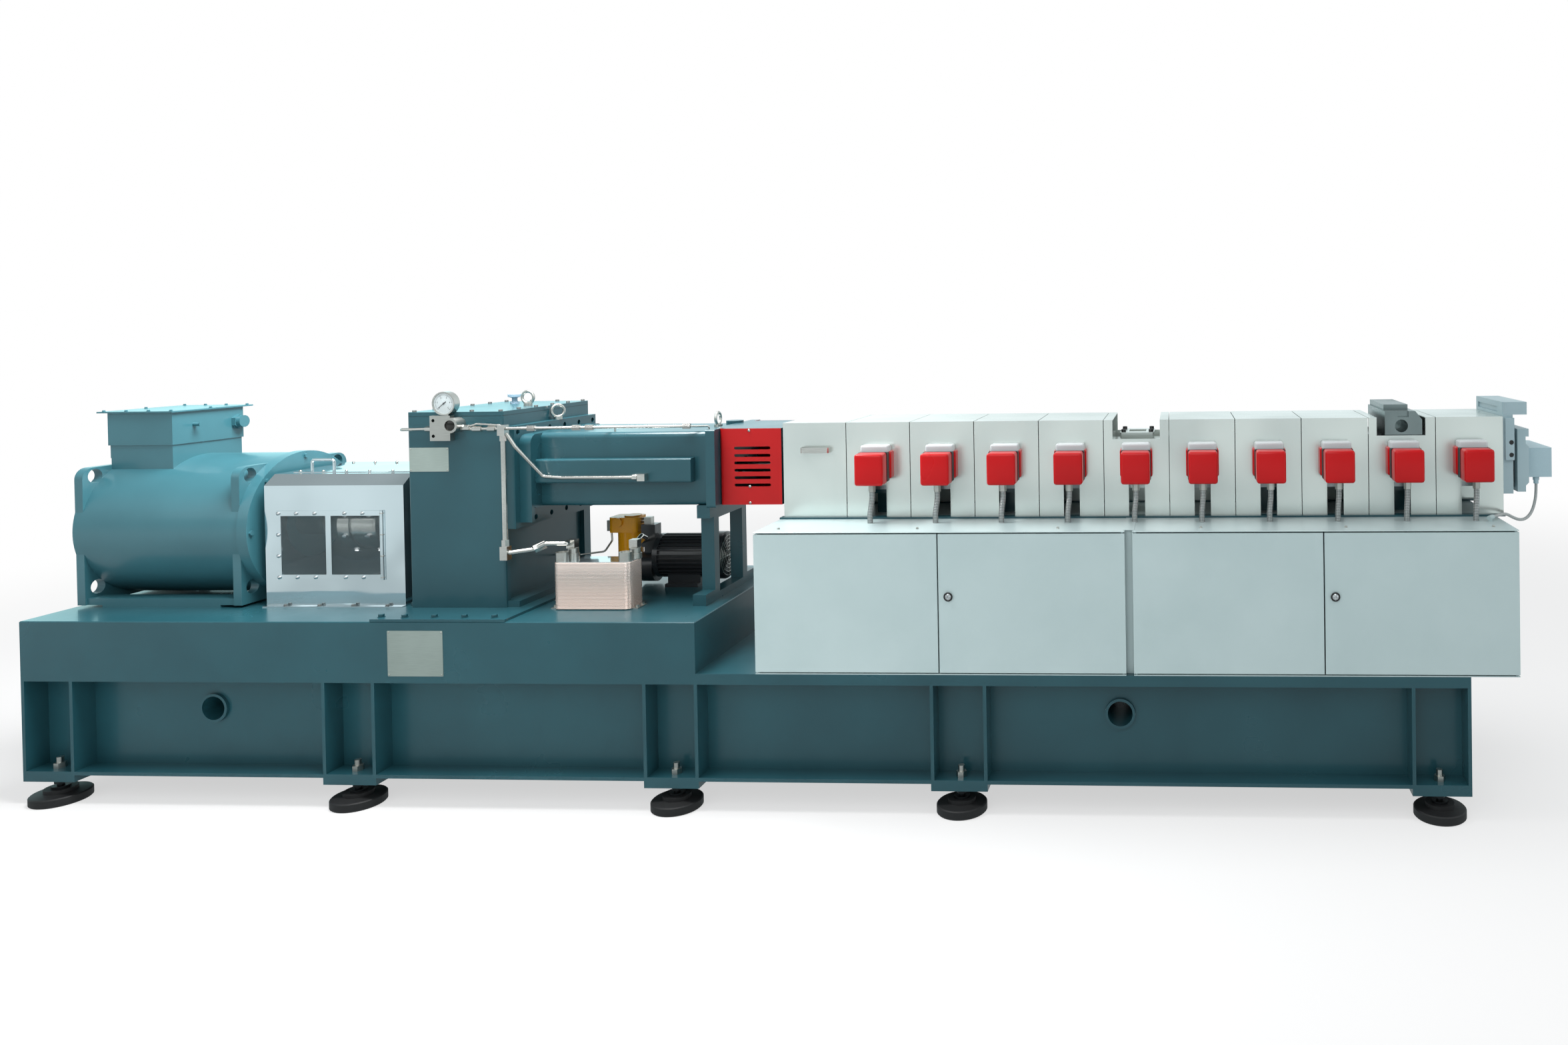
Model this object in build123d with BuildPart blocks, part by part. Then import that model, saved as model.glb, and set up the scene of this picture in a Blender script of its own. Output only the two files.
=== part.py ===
from build123d import *
import math
import os

os.makedirs("parts", exist_ok=True)

# Driving dimensions in millimetres: X runs along the machine from the motor to the die,
# Y across it (the front is -Y) and Z up from the floor. The origin is on the floor, at the middle.
BARREL_COUNT = 11
BARREL_PITCH = 260.0
BASE_WIDTH = 970.0
DECK_Z = 527.0
PLINTH_Z = 723.0
SHAFT_Z = 1030.0
BARREL_Z = 1260.0
FIT = 0.3

# Base frame
DECK_THICK = 12.0
SKIRT_BOTTOM_Z = 486.0
FLANGE_BOTTOM_Z = 116.0
FLANGE_THICK = 14.0
WEB_THICK = 12.0
WEB_SETBACK = 90.0
RIB_THICK = 13.0
RIB_SPACING = 214.0
FOOT_PLATE_THICK = 27.0
FOOT_PLATE_DEPTH = 150.0
FOOT_DIAMETER = 190.0
FOOT_DISC_HEIGHT = 34.0
FOOT_DISC_EDGE = 4.0
FOOT_HUB_RADIUS = 52.0
FOOT_INSET = 45.0
FOOT_PAD_HEIGHT = 52.0
FOOT_STATION_2 = 1343.5
FOOT_STATION_3 = 101.0
FOOT_STATION_4 = 1888.0
STUD_DIAMETER = 24.0
STUD_ABOVE_NUT = 22.0
NUT_HEIGHT = 20.0
NUT_RADIUS = 20.4
SWIVEL_RADIUS = 30.0
SWIVEL_HEIGHT = 8.0
CROSS_SIZE = 120.0
LIFT_TUBE_OUTER = 114.0
LIFT_TUBE_BORE = 94.0
LIFT_TUBE_Z = 356.0
LIFT_TUBE_PROUD = 12.0
LIFT_STATION_1 = 720.5
LIFT_STATION_2 = 1285.5
PLINTH_STEP = 244.0
BASE_SHORT = 211.0
PLINTH_EDGE = 3.0

# Drive motor and its terminal box
MOTOR_INSET = 25.0
MOTOR_LENGTH = 712.0
MOTOR_FLANGE_WIDTH = 566.0
MOTOR_FLANGE_TOP = 267.0
MOTOR_FLANGE_THICK = 35.0
MOTOR_FLANGE_CORNER = 46.0
MOTOR_BODY_RADIUS = 296.0
MOTOR_DISC_RADIUS = 303.0
MOTOR_DISC_THICK = 44.0
MOTOR_DISC_BOLTS = 8
MOTOR_BOLT_SPACING = 460.0
MOTOR_BOLT_HOLE = 60.0
MOTOR_PAD_HEIGHT = 10.0
MOTOR_PAD_INSET = 100.0
MOTOR_RAIL_WIDTH = 70.0
MOTOR_RAIL_SPACING = 480.0
MOTOR_RAIL_HEIGHT = 27.0
SHAFT_RADIUS = 60.0
SHAFT_SEAT = 30.0
TERMINAL_INSET = 27.0
TERMINAL_LENGTH = 287.0
TERMINAL_FRONT_Y = -165.0
TERMINAL_BACK_Y = 178.0
TERMINAL_STEP = 5.0
TERMINAL_SEAM_Z = 1380.0
TERMINAL_TOP_Z = 1517.0
LID_THICK = 6.0
LID_OVER_LEFT = 36.0
LID_OVER_RIGHT = 12.0
LID_OVER_BACK = 40.0
NIPPLE_Y = -65.0
NIPPLE_Z = 1458.0
NIPPLE_LENGTH = 34.0
GLAND_Y = 146.0
GLAND_Z = 1453.0
GLAND_RADIUS = 33.0
GLAND_LENGTH = 36.0

# Coupling guard and coupling
GUARD_STATION = 817.0
GUARD_LENGTH = 594.0
GUARD_DEPTH = 506.0
GUARD_SHOULDER_Z = 1218.0
GUARD_TOP_Z = 1259.0
GUARD_SHEET = 4.0
GUARD_CHAMFER = 54.0
GUARD_BORE = 300.0
GUARD_FOOT = 22.0
WINDOW_LENGTH = 422.0
WINDOW_HEIGHT = 241.0
WINDOW_BOTTOM_Z = 853.0
WINDOW_OFFSET = 70.0
WINDOW_SPLIT = 203.0
WINDOW_MULLION = 23.0
WINDOW_FRAME = 21.0
WINDOW_FRAME_THICK = 3.0
WINDOW_ROD_RADIUS = 7.0
LID_HALF_DEPTH = 157.0
LID_LEFT_INSET = 45.0
LID_SHEET = 3.0
LID_HANDLE_LEFT = 112.5
LID_HANDLE_LENGTH = 97.0
LID_HANDLE_Y = -140.0
LID_HANDLE_HEIGHT = 48.0
HANDLE_ROD_RADIUS = 6.0
COUPLING_STATION = 282.0
COUPLING_FLANGE_RADIUS = 125.0
COUPLING_FLANGE_THICK = 85.0
COUPLING_HUB_RADIUS = 82.0
COUPLING_HUB_LENGTH = 105.0
COUPLING_BOLT_CIRCLE = 103.0
COUPLING_BOLTS = 8
BOLT_HEAD_RADIUS = 10.0
BOLT_HEAD_HEIGHT = 8.0

# Gearbox
GEARBOX_STATION = 1480.0
GEARBOX_LENGTH = 395.0
GEARBOX_DEPTH = 628.0
GEARBOX_TOP_Z = 1518.0
GEARBOX_COVER_THICK = 16.0
GEARBOX_SEAM = 2.0
GEARBOX_CORNER = 10.0
SOLE_PLATE_THICK = 10.0
SOLE_LEFT_MARGIN = 42.0
SOLE_RIGHT_MARGIN = 104.0
INPUT_COVER_RADIUS = 118.0
INPUT_COVER_THICK = 18.0
INPUT_COVER_BORE = 66.0
PANEL_DEPTH = 18.0
PANEL_FRONT_RIM = 30.0
PANEL_BACK_RIM = 58.0
LEDGE_DEPTH = 48.0
LEDGE_HEIGHT = 24.0
LEDGE_INSET = 10.0
BREATHER_DX = 150.0
BREATHER_Y = 150.0
NECK_PLATE_THICK = 38.0
NECK_PLATE_DEPTH = 600.0
NECK_PLATE_TOP_Z = 1457.0
NECK_PLATE_BOTTOM_Z = 1046.0
NECK_LENGTH = 86.0
NECK_DEPTH = 540.0
NECK_CORNER = 40.0
NECK_CHEEK = 18.0
NECK_CHEEK_BOTTOM_Z = 1066.0
NECK_HOLE_RADIUS = 11.0
NECK_HOLE_SPACING = 110.0
NECK_HOLE_INSET = 25.0
NECK_HOLE_DEPTH = 14.0
DISTRIBUTION_DEPTH = 400.0
DISTRIBUTION_TOP_Z = 1420.0
DISTRIBUTION_BOTTOM_Z = 1120.0
DISTRIBUTION_CORNER = 22.0
DISTRIBUTION_LENGTH = 706.0
RIB_TOP_Z = 1316.0
RIB_BOTTOM_Z = 1219.0
RIB_PROUD = 40.0
RIB_CORNER = 8.0
RIB_SETBACK = 62.0
END_FLANGE_THICK = 38.0
END_FLANGE_DEPTH = 480.0
END_FLANGE_TOP_Z = 1430.0
END_FLANGE_BOTTOM_Z = 1116.0
DOME_RADIUS = 36.0
DOME_SETBACK = 20.0
DOME_HEIGHT = 9.0
DOME_Y = 100.0
EYE_RING_RADIUS = 25.0
EYE_BAR_RADIUS = 6.0
EYE_COLLAR_RADIUS = 17.0
EYE_COLLAR_HEIGHT = 12.0
EYE_SETBACK = 26.0
EYE_STATION = 305.0
STAND_INSET = 58.0
STAND_THICK = 54.0
STAND_HALF_WIDTH = 163.0
STAND_POST = 46.0
STAND_FOOT_HALF = 250.0
STAND_FOOT_HEIGHT = 45.0
STAND_SILL = 30.0
STAND_BEAM_HEIGHT = 53.0
STAND_LINTEL = 62.0

# Lantern between the gears and the first barrel
LANTERN_LENGTH = 255.0
LANTERN_GAP = 6.0
LANTERN_HALF = 190.0
LANTERN_GUARD_SHEET = 3.0
LANTERN_GUARD_BEND = 15.0
LANTERN_GUARD_LIP = 21.0
LANTERN_BOTTOM_Z = 1121.0
LANTERN_PLATE = 14.0
LANTERN_END_PLATE = 16.0
LANTERN_RIGHT_PLATE = 30.0
LANTERN_SPIGOT = 95.0
VENT_SLOTS = 6
VENT_SLOT_LENGTH = 150.0
VENT_SLOT_HEIGHT = 12.0
VENT_SLOT_PITCH = 30.0
SCREW_OFFSET = 27.0
SCREW_RADIUS = 25.0
SLEEVE_RADIUS = 26.5
BORE_RADIUS = 33.0
SCREW_REACH = 40.0

# Lubrication
MANIFOLD_DX = 112.0
MANIFOLD_LENGTH = 84.0
MANIFOLD_DEPTH = 26.0
MANIFOLD_BOTTOM_Z = 1405.0
MANIFOLD_HEIGHT = 100.0
MANIFOLD_HOLE_RADIUS = 6.5
MANIFOLD_HOLE_SPACING = 62.0
HEAD_DX = 215.5
HEAD_Z = 1468.0
HEAD_RADIUS = 30.0
HEAD_LENGTH = 56.0
GAUGE_DX = 175.5
GAUGE_Z = 1554.0
GAUGE_RADIUS = 47.0
GAUGE_DEPTH = 32.0
TUBE_RADIUS = 6.0
THIN_TUBE_RADIUS = 4.0
RISER_RADIUS = 10.0
NUT_HEX_RADIUS = 12.0
OIL_LINE_Z = 1452.0
TEE_DX = 18.5
TEE_BODY = 30.0
ELBOW_BOTTOM_Z = 931.0
ELBOW_HEIGHT = 54.0
EXCHANGER_DX = 104.5
EXCHANGER_LENGTH = 318.0
EXCHANGER_DEPTH = 114.0
EXCHANGER_FRONT_Y = -312.0
EXCHANGER_TOP_Z = 912.0
EXCHANGER_CORNER = 26.0
EXCHANGER_PLATES = 36
EXCHANGER_RIM = 2.0
EXCHANGER_BASE = 4.0
EXCHANGER_TAB = 20.0
PORT_RADIUS = 25.0
CAP_HEIGHT = 38.0
STUB_HEIGHT = 43.0
CAP_LEFT_DX = 26.0
STUB_LEFT_DX = 36.0
PORT_SPAN = 261.0
CAP_DY = 28.0
STUB_DY = 86.0
PORT_ELBOW = 34.0
PORT_ELBOW_HEIGHT = 34.0
PUMP_Y = 150.0
PUMP_MOTOR_Z = 845.0
PUMP_MOTOR_DX = 324.5
PUMP_MOTOR_LENGTH = 255.0
PUMP_MOTOR_RADIUS = 95.0
PUMP_FINS = 30
FIN_DEPTH = 12.0
FIN_THICK = 3.6
PUMP_SHIELD = 22.0
FAN_COVER_RADIUS = 103.0
FAN_COVER_LENGTH = 47.0
FAN_COVER_EDGE = 12.0
PUMP_FOOT_INSET = 55.0
PUMP_FOOT_WIDTH = 180.0
PUMP_FOOT_THICK = 14.0
PUMP_LEG_WIDTH = 120.0
PUMP_RADIUS = 65.0
PUMP_Z = 796.0
PUMP_LENGTH = 62.0
PUMP_BELL = 15.0
VALVE_DEPTH = 56.0
VALVE_BOTTOM_Z = 885.0
VALVE_TOP_Z = 983.0
FILTER_DX = 138.0
FILTER_BOWL_RADIUS = 52.0
FILTER_BOWL_BOTTOM_Z = 800.0
FILTER_HEAD_BOTTOM_Z = 952.0
FILTER_HEAD_TOP_Z = 1018.0
FILTER_HEAD_LENGTH = 126.0
FILTER_HEAD_DEPTH = 100.0
FILTER_PORT_Z = 998.0
FILTER_LINE_DROP = 83.0

# Barrels, covers and heaters
COVER_DEPTH = 380.0
COVER_TOP_Z = 1450.0
COVER_SHEET = 3.0
COVER_GAP = 3.0
SLOT_WIDTH = 64.0
SLOT_HEIGHT = 126.0
RAIL_HEIGHT = 7.0
RAIL_WIDTH = 42.0
RAIL_PROUD = 18.0
RAIL_LEFT = 12.0
FEED_COVER = 5
VENT_COVER = 9
NOTCH_WIDTH = 188.0
FEED_NOTCH_Z = 1374.0
VENT_NOTCH_Z = 1379.0
BARREL_BODY = 190.0
BARREL_FLANGE = 236.0
BARREL_FLANGE_THICK = 30.0
FEED_PLATE_LENGTH = 138.0
FEED_PLATE_DEPTH = 180.0
FEED_PLATE_BOTTOM_Z = 1366.0
FEED_PLATE_THICK = 24.0
THROAT_LENGTH = 70.0
THROAT_WIDTH = 84.0
FEED_BOLT_RADIUS = 7.0
FEED_BOLT_SPACING_X = 112.0
FEED_BOLT_SPACING_Y = 124.0
VENT_BLOCK_LENGTH = 144.0
VENT_BLOCK_DX = 8.0
VENT_BLOCK_DEPTH = 370.0
VENT_BLOCK_BOTTOM_Z = 1381.0
VENT_BLOCK_TOP_Z = 1474.0
VENT_CUT = 26.0
VENT_CUT_DROP = 34.0
VENT_RAISED_LENGTH = 95.0
VENT_RAISED_TOP_Z = 1495.0
VENT_RAISED_SETBACK = 70.0
VENT_BORE_RADIUS = 25.0
VENT_BORE_Z = 1416.0
VENT_BORE_DEPTH = 120.0
VENT_NECK_LENGTH = 120.0
VENT_NECK_DEPTH = 180.0
POST_SIZE = 90.0
POST_CAP = 15.0
POST_CLEAR = 1.0
STRAP_X = 82.0
STRAP_LENGTH = 116.0
STRAP_REACH = 36.0
STRAP_WIDTH = 22.0
STRAP_THICK = 3.0
STRAP_Z = 1342.0
HEATER_WIDTH = 112.0
HEATER_CAP_DEPTH = 62.0
HEATER_CAP_BOTTOM_Z = 1212.0
HEATER_CAP_HEIGHT = 118.0
HEATER_CORNER = 10.0
HEATER_CHAMFER = 8.0
HEATER_PLATE_WIDTH = 120.0
HEATER_PLATE_DEPTH = 38.0
HEATER_PLATE_BOTTOM_Z = 1222.0
HEATER_PLATE_HEIGHT = 114.0
HEATER_REAR_DEPTH = 24.0
HEATER_REAR_LIFT = 6.0
HEATER_REAR_SHIFT = 12.0
BRACKET_LENGTH = 114.0
BRACKET_DEPTH = 58.0
BRACKET_HEIGHT = 19.0
BRACKET_SHEET = 2.0
BRACKET_CORNER = 12.0
CONDUIT_RADIUS = 10.5
CONDUIT_GLAND_RADIUS = 14.0
CONDUIT_GLAND_HEIGHT = 28.0
CONDUIT_SHIFT_X = -6.0
CONDUIT_SHIFT_Y = -12.0

# Cabinets
CABINET_LEFT_OVER = 10.0
CABINET_RIGHT_SHORT = 35.0
CABINET_GAP = 29.0
CABINET_TOP_Z = 1063.0
CABINET_SHEET = 3.0
CABINET_EDGE = 2.0
FILLER_SETBACK = 30.0
FILLER_SHEET = 2.0
DOOR_DEPTH = 18.0
DOOR_SHEET = 2.0
DOOR_CLEAR = 5.0
DOOR_PIVOT_INSET = 10.0
DOOR_PIVOT_RADIUS = 4.0
DOOR_PIVOT_LENGTH = 14.0
DOOR_FRAME_GAP = 10.0
LOCK_RADIUS = 15.0
LOCK_PROUD = 5.0
LOCK_BODY_RADIUS = 11.0
LOCK_Z = 821.0
LOCK_INSET = 37.0

# Die end
ADAPTER_THICK = 38.0
ADAPTER_DEPTH = 370.0
ADAPTER_BOTTOM_Z = 1148.0
ADAPTER_TOP_Z = 1456.0
HEAD_BLOCK_LENGTH = 91.5
HEAD_BLOCK_TOP_Z = 1505.0
HEAD_BLOCK_CORNER = 14.0
POCKET_FRONT_Y = -110.0
POCKET_BACK_Y = 160.0
POCKET_BOTTOM_Z = 1462.0
POCKET_TOP_Z = 1484.0
POCKET_DEPTH = 6.0
PAD_THICK = 11.0
PAD_BOTTOM_Z = 1280.0
PAD_TOP_Z = 1444.0
PAD_INSET = 6.5
PAD_LENGTH = 34.0
PAD_HOLE_RADIUS = 9.0
PAD_HOLE_Z = 1324.5
PAD_HOLE_SPACING = 49.0
DIE_BODY_THICK = 22.5
DIE_BODY_DEPTH = 240.0
DIE_BODY_BOTTOM_Z = 1165.0
DIE_BODY_TOP_Z = 1390.0
DIE_PLATE_THICK = 44.0
DIE_PLATE_DEPTH = 330.0
DIE_PLATE_BOTTOM_Z = 1152.0
DIE_PLATE_TOP_Z = 1398.0
DIE_PLATE_LUG = 12.0
DIE_PLATE_LUG_HEIGHT = 30.0
JUNCTION_FRONT_Y = -100.0
JUNCTION_BACK_Y = 180.0
JUNCTION_BOTTOM_Z = 1200.0
JUNCTION_TOP_Z = 1316.0
JUNCTION_CORNER = 5.0
JUNCTION_GLAND_INSET = 20.0
JUNCTION_LENGTH = 110.5
JUNCTION_GLAND_DX = 54.0
JUNCTION_GLAND_RADIUS = 13.0
JUNCTION_GLAND_LENGTH = 28.0
CABLE_RADIUS = 6.0
CABLE_GLAND_RADIUS = 9.5
CABLE_GLAND_LENGTH = 28.0
CABLE_HEADING = 222.8
CABLE_SHAPE = [(0, 0), (0, -38), (12, -78), (38, -114), (80, -132), (128, -130), (176, -114), (222, -94),
               (272, -92), (316, -95)]

# Stations along X
GEARS_LENGTH = NECK_LENGTH + DISTRIBUTION_LENGTH + END_FLANGE_THICK + LANTERN_LENGTH + LANTERN_GAP
DRIVE_LENGTH = GEARBOX_STATION + GEARBOX_LENGTH + GEARS_LENGTH
DIE_LENGTH = ADAPTER_THICK + DIE_BODY_THICK + DIE_PLATE_THICK + JUNCTION_LENGTH
DIE_END_X = (DRIVE_LENGTH + BARREL_COUNT * BARREL_PITCH + DIE_LENGTH) / 2
BASE_LEFT = -DIE_END_X
FRONT_Y = -BASE_WIDTH / 2
BACK_Y = BASE_WIDTH / 2
BEAM_TOP_Z = DECK_Z - DECK_THICK
COVER_LEFT = BASE_LEFT + DRIVE_LENGTH
PLINTH_RIGHT = COVER_LEFT - PLINTH_STEP
COVER_RIGHT = COVER_LEFT + BARREL_COUNT * BARREL_PITCH
BASE_RIGHT = COVER_RIGHT - BASE_SHORT
CABINET_LEFT = COVER_LEFT - CABINET_LEFT_OVER
CABINET_LENGTH = (COVER_RIGHT - CABINET_RIGHT_SHORT - CABINET_GAP - CABINET_LEFT) / 2
FOOT_STATIONS = [
    BASE_LEFT + RIB_SPACING / 2,
    BASE_LEFT + FOOT_STATION_2,
    PLINTH_RIGHT - FOOT_STATION_3,
    BASE_RIGHT - FOOT_STATION_4,
    BASE_RIGHT - RIB_SPACING / 2,
]
LIFT_STATIONS = [BASE_LEFT + LIFT_STATION_1, BASE_RIGHT - LIFT_STATION_2]


def block(x0, x1, y0, y1, z0, z1, mode=Mode.ADD):
    """A box between two corners."""
    with Locations(((x0 + x1) / 2, (y0 + y1) / 2, (z0 + z1) / 2)):
        Box(x1 - x0, y1 - y0, z1 - z0, mode=mode)


def rod_x(x0, x1, y, z, radius, mode=Mode.ADD):
    """A round bar or hole along X."""
    with Locations(((x0 + x1) / 2, y, z)):
        Cylinder(radius, x1 - x0, rotation=(0, 90, 0), mode=mode)


def rod_y(x, y0, y1, z, radius, mode=Mode.ADD):
    """A round bar or hole along Y."""
    with Locations((x, (y0 + y1) / 2, z)):
        Cylinder(radius, y1 - y0, rotation=(90, 0, 0), mode=mode)


def rod_z(x, y, z0, z1, radius, mode=Mode.ADD):
    """A round bar or hole along Z."""
    with Locations((x, y, (z0 + z1) / 2)):
        Cylinder(radius, z1 - z0, mode=mode)


def bent_tube(points, radius, bend):
    """A solid round tube that follows a polyline with rounded corners."""
    with BuildLine() as route:
        FilletPolyline(*points, radius=bend)
    with BuildSketch(Plane(origin=route.line @ 0, z_dir=route.line % 0)) as section:
        Circle(radius)
    sweep(section.sketch, path=route.line)


def hex_bar(origin, direction, length, radius):
    """A hexagon bar or nut from a point in a direction."""
    with BuildSketch(Plane(origin=origin, z_dir=direction)) as section:
        RegularPolygon(radius, 6)
    extrude(section.sketch, amount=length)


def save(piece, name):
    """Label a finished piece and write it under its own name."""
    piece.part.label = name
    export_step(piece.part, "parts/" + name + ".step")


# Base: two C-section side beams with paired ribs over each foot
web_face = BASE_WIDTH / 2 - WEB_SETBACK
beam_inner = web_face - WEB_THICK
foot_plate_z = FLANGE_BOTTOM_Z - FOOT_PLATE_THICK
flange_top = FLANGE_BOTTOM_Z + FLANGE_THICK
foot_y = BASE_WIDTH / 2 - FOOT_INSET
foot_spots = [(x, side * foot_y) for x in FOOT_STATIONS for side in (-1, 1)]
beam_corners = [
    (FRONT_Y, FLANGE_BOTTOM_Z), (-beam_inner, FLANGE_BOTTOM_Z), (-beam_inner, BEAM_TOP_Z), (FRONT_Y, BEAM_TOP_Z),
    (FRONT_Y, SKIRT_BOTTOM_Z), (-web_face, SKIRT_BOTTOM_Z), (-web_face, flange_top), (FRONT_Y, flange_top),
]
with BuildPart() as base_side_beams:
    with BuildSketch(Plane.YZ.offset(BASE_LEFT)):
        Polygon(*beam_corners, align=None)
    extrude(amount=BASE_RIGHT - BASE_LEFT)
    for station in FOOT_STATIONS:
        for edge in (station - RIB_SPACING / 2, station + RIB_SPACING / 2 - RIB_THICK):
            block(edge, edge + RIB_THICK, FRONT_Y, -beam_inner, FLANGE_BOTTOM_Z, SKIRT_BOTTOM_Z)
        block(station - RIB_SPACING / 2, station + RIB_SPACING / 2, FRONT_Y, FRONT_Y + FOOT_PLATE_DEPTH,
              foot_plate_z, FLANGE_BOTTOM_Z)
        rod_z(station, -foot_y, foot_plate_z - 1, flange_top + 1, STUD_DIAMETER / 2 + FIT, mode=Mode.SUBTRACT)
    for station in LIFT_STATIONS:
        rod_y(station, FRONT_Y, 0, LIFT_TUBE_Z, LIFT_TUBE_OUTER / 2 + FIT, mode=Mode.SUBTRACT)
    mirror(about=Plane.XZ)
save(base_side_beams, "base_side_beams")

# Cross members, end plates and the two lifting tubes that run right across
tube_end = web_face + LIFT_TUBE_PROUD
with BuildPart() as base_cross_members:
    for station in FOOT_STATIONS:
        block(station - CROSS_SIZE / 2, station + CROSS_SIZE / 2, -beam_inner, beam_inner,
              BEAM_TOP_Z - CROSS_SIZE, BEAM_TOP_Z)
    for end in (BASE_LEFT, BASE_RIGHT - WEB_THICK):
        block(end, end + WEB_THICK, -beam_inner, beam_inner, FLANGE_BOTTOM_Z, BEAM_TOP_Z)
    for station in LIFT_STATIONS:
        rod_y(station, -tube_end, tube_end, LIFT_TUBE_Z, LIFT_TUBE_OUTER / 2)
        rod_y(station, -tube_end, tube_end, LIFT_TUBE_Z, LIFT_TUBE_BORE / 2, mode=Mode.SUBTRACT)
save(base_cross_members, "base_cross_members")

# Drive plinth: a closed box that carries the motor and the gearbox
with BuildPart() as drive_plinth:
    block(BASE_LEFT, PLINTH_RIGHT, FRONT_Y, BACK_Y, BEAM_TOP_Z, PLINTH_Z)
    chamfer(edges().group_by(Axis.Z)[-1], PLINTH_EDGE)
save(drive_plinth, "drive_plinth")

# Process deck: the plate under the cabinets
with BuildPart() as process_deck:
    block(PLINTH_RIGHT, BASE_RIGHT, FRONT_Y, BACK_Y, BEAM_TOP_Z, DECK_Z)
save(process_deck, "process_deck")

# Levelling feet: a stud with two nuts and a swivel base, on a round rubber pad
with BuildPart() as levelling_studs:
    for x, y in foot_spots:
        rod_z(x, y, FOOT_PAD_HEIGHT, flange_top + NUT_HEIGHT + STUD_ABOVE_NUT, STUD_DIAMETER / 2)
        rod_z(x, y, FOOT_PAD_HEIGHT, FOOT_PAD_HEIGHT + SWIVEL_HEIGHT, SWIVEL_RADIUS)
    for level in (foot_plate_z - NUT_HEIGHT, flange_top):
        with BuildSketch(Plane.XY.offset(level)):
            with Locations(*foot_spots):
                RegularPolygon(NUT_RADIUS, 6)
        extrude(amount=NUT_HEIGHT)
save(levelling_studs, "levelling_studs")

pad_radius = FOOT_DIAMETER / 2
with BuildPart() as rubber_pad:
    with BuildSketch(Plane.XZ):
        Polygon((0, 0), (pad_radius - FOOT_DISC_EDGE, 0), (pad_radius, FOOT_DISC_EDGE),
                (pad_radius, FOOT_DISC_HEIGHT - FOOT_DISC_EDGE), (pad_radius - FOOT_DISC_EDGE, FOOT_DISC_HEIGHT),
                (FOOT_HUB_RADIUS, FOOT_DISC_HEIGHT + FOOT_DISC_EDGE), (FOOT_HUB_RADIUS, FOOT_PAD_HEIGHT),
                (0, FOOT_PAD_HEIGHT), align=None)
    revolve(axis=Axis.Z)
with BuildPart() as rubber_feet:
    with Locations(*[(x, y, 0) for x, y in foot_spots]):
        add(rubber_pad.part)
save(rubber_feet, "rubber_feet")

# Drive motor: a round body between two square flanges, on two rails with low pads
motor_left = BASE_LEFT + MOTOR_INSET
motor_right = motor_left + MOTOR_LENGTH
motor_bottom = PLINTH_Z + MOTOR_PAD_HEIGHT
flange_height = SHAFT_Z + MOTOR_FLANGE_TOP - motor_bottom
with BuildPart() as motor_body:
    for x0 in (motor_left, motor_right - MOTOR_FLANGE_THICK):
        with BuildSketch(Plane.YZ.offset(x0)):
            with Locations((0, motor_bottom + flange_height / 2)):
                RectangleRounded(MOTOR_FLANGE_WIDTH, flange_height, MOTOR_FLANGE_CORNER)
            with Locations((0, motor_bottom + MOTOR_FLANGE_CORNER)):
                Rectangle(MOTOR_FLANGE_WIDTH, 2 * MOTOR_FLANGE_CORNER)
            with Locations((0, SHAFT_Z)):
                with GridLocations(MOTOR_BOLT_SPACING, MOTOR_BOLT_SPACING, 2, 2):
                    Circle(MOTOR_BOLT_HOLE / 2, mode=Mode.SUBTRACT)
        extrude(amount=MOTOR_FLANGE_THICK)
    rod_x(motor_left, motor_right, 0, SHAFT_Z, MOTOR_BODY_RADIUS)
    for side in (-1, 1):
        y = side * MOTOR_RAIL_SPACING / 2
        rail_front = y - MOTOR_RAIL_WIDTH / 2
        block(motor_left, motor_right, rail_front, rail_front + MOTOR_RAIL_WIDTH, motor_bottom,
              motor_bottom + MOTOR_RAIL_HEIGHT)
        block(motor_left + MOTOR_PAD_INSET, motor_right - MOTOR_PAD_INSET, rail_front,
              rail_front + MOTOR_RAIL_WIDTH, PLINTH_Z, motor_bottom)
save(motor_body, "motor_body")

disc_right = motor_right + MOTOR_DISC_THICK
with BuildPart() as motor_end_disc:
    rod_x(motor_right, disc_right, 0, SHAFT_Z, MOTOR_DISC_RADIUS)
    rod_x(disc_right - SHAFT_SEAT, disc_right, 0, SHAFT_Z, SHAFT_RADIUS + FIT, mode=Mode.SUBTRACT)
    with BuildSketch(Plane(origin=(disc_right, 0, SHAFT_Z), z_dir=(1, 0, 0))):
        with PolarLocations(MOTOR_DISC_RADIUS - 2 * BOLT_HEAD_RADIUS, MOTOR_DISC_BOLTS):
            RegularPolygon(BOLT_HEAD_RADIUS, 6)
    extrude(amount=BOLT_HEAD_HEIGHT)
save(motor_end_disc, "motor_end_disc")

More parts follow.
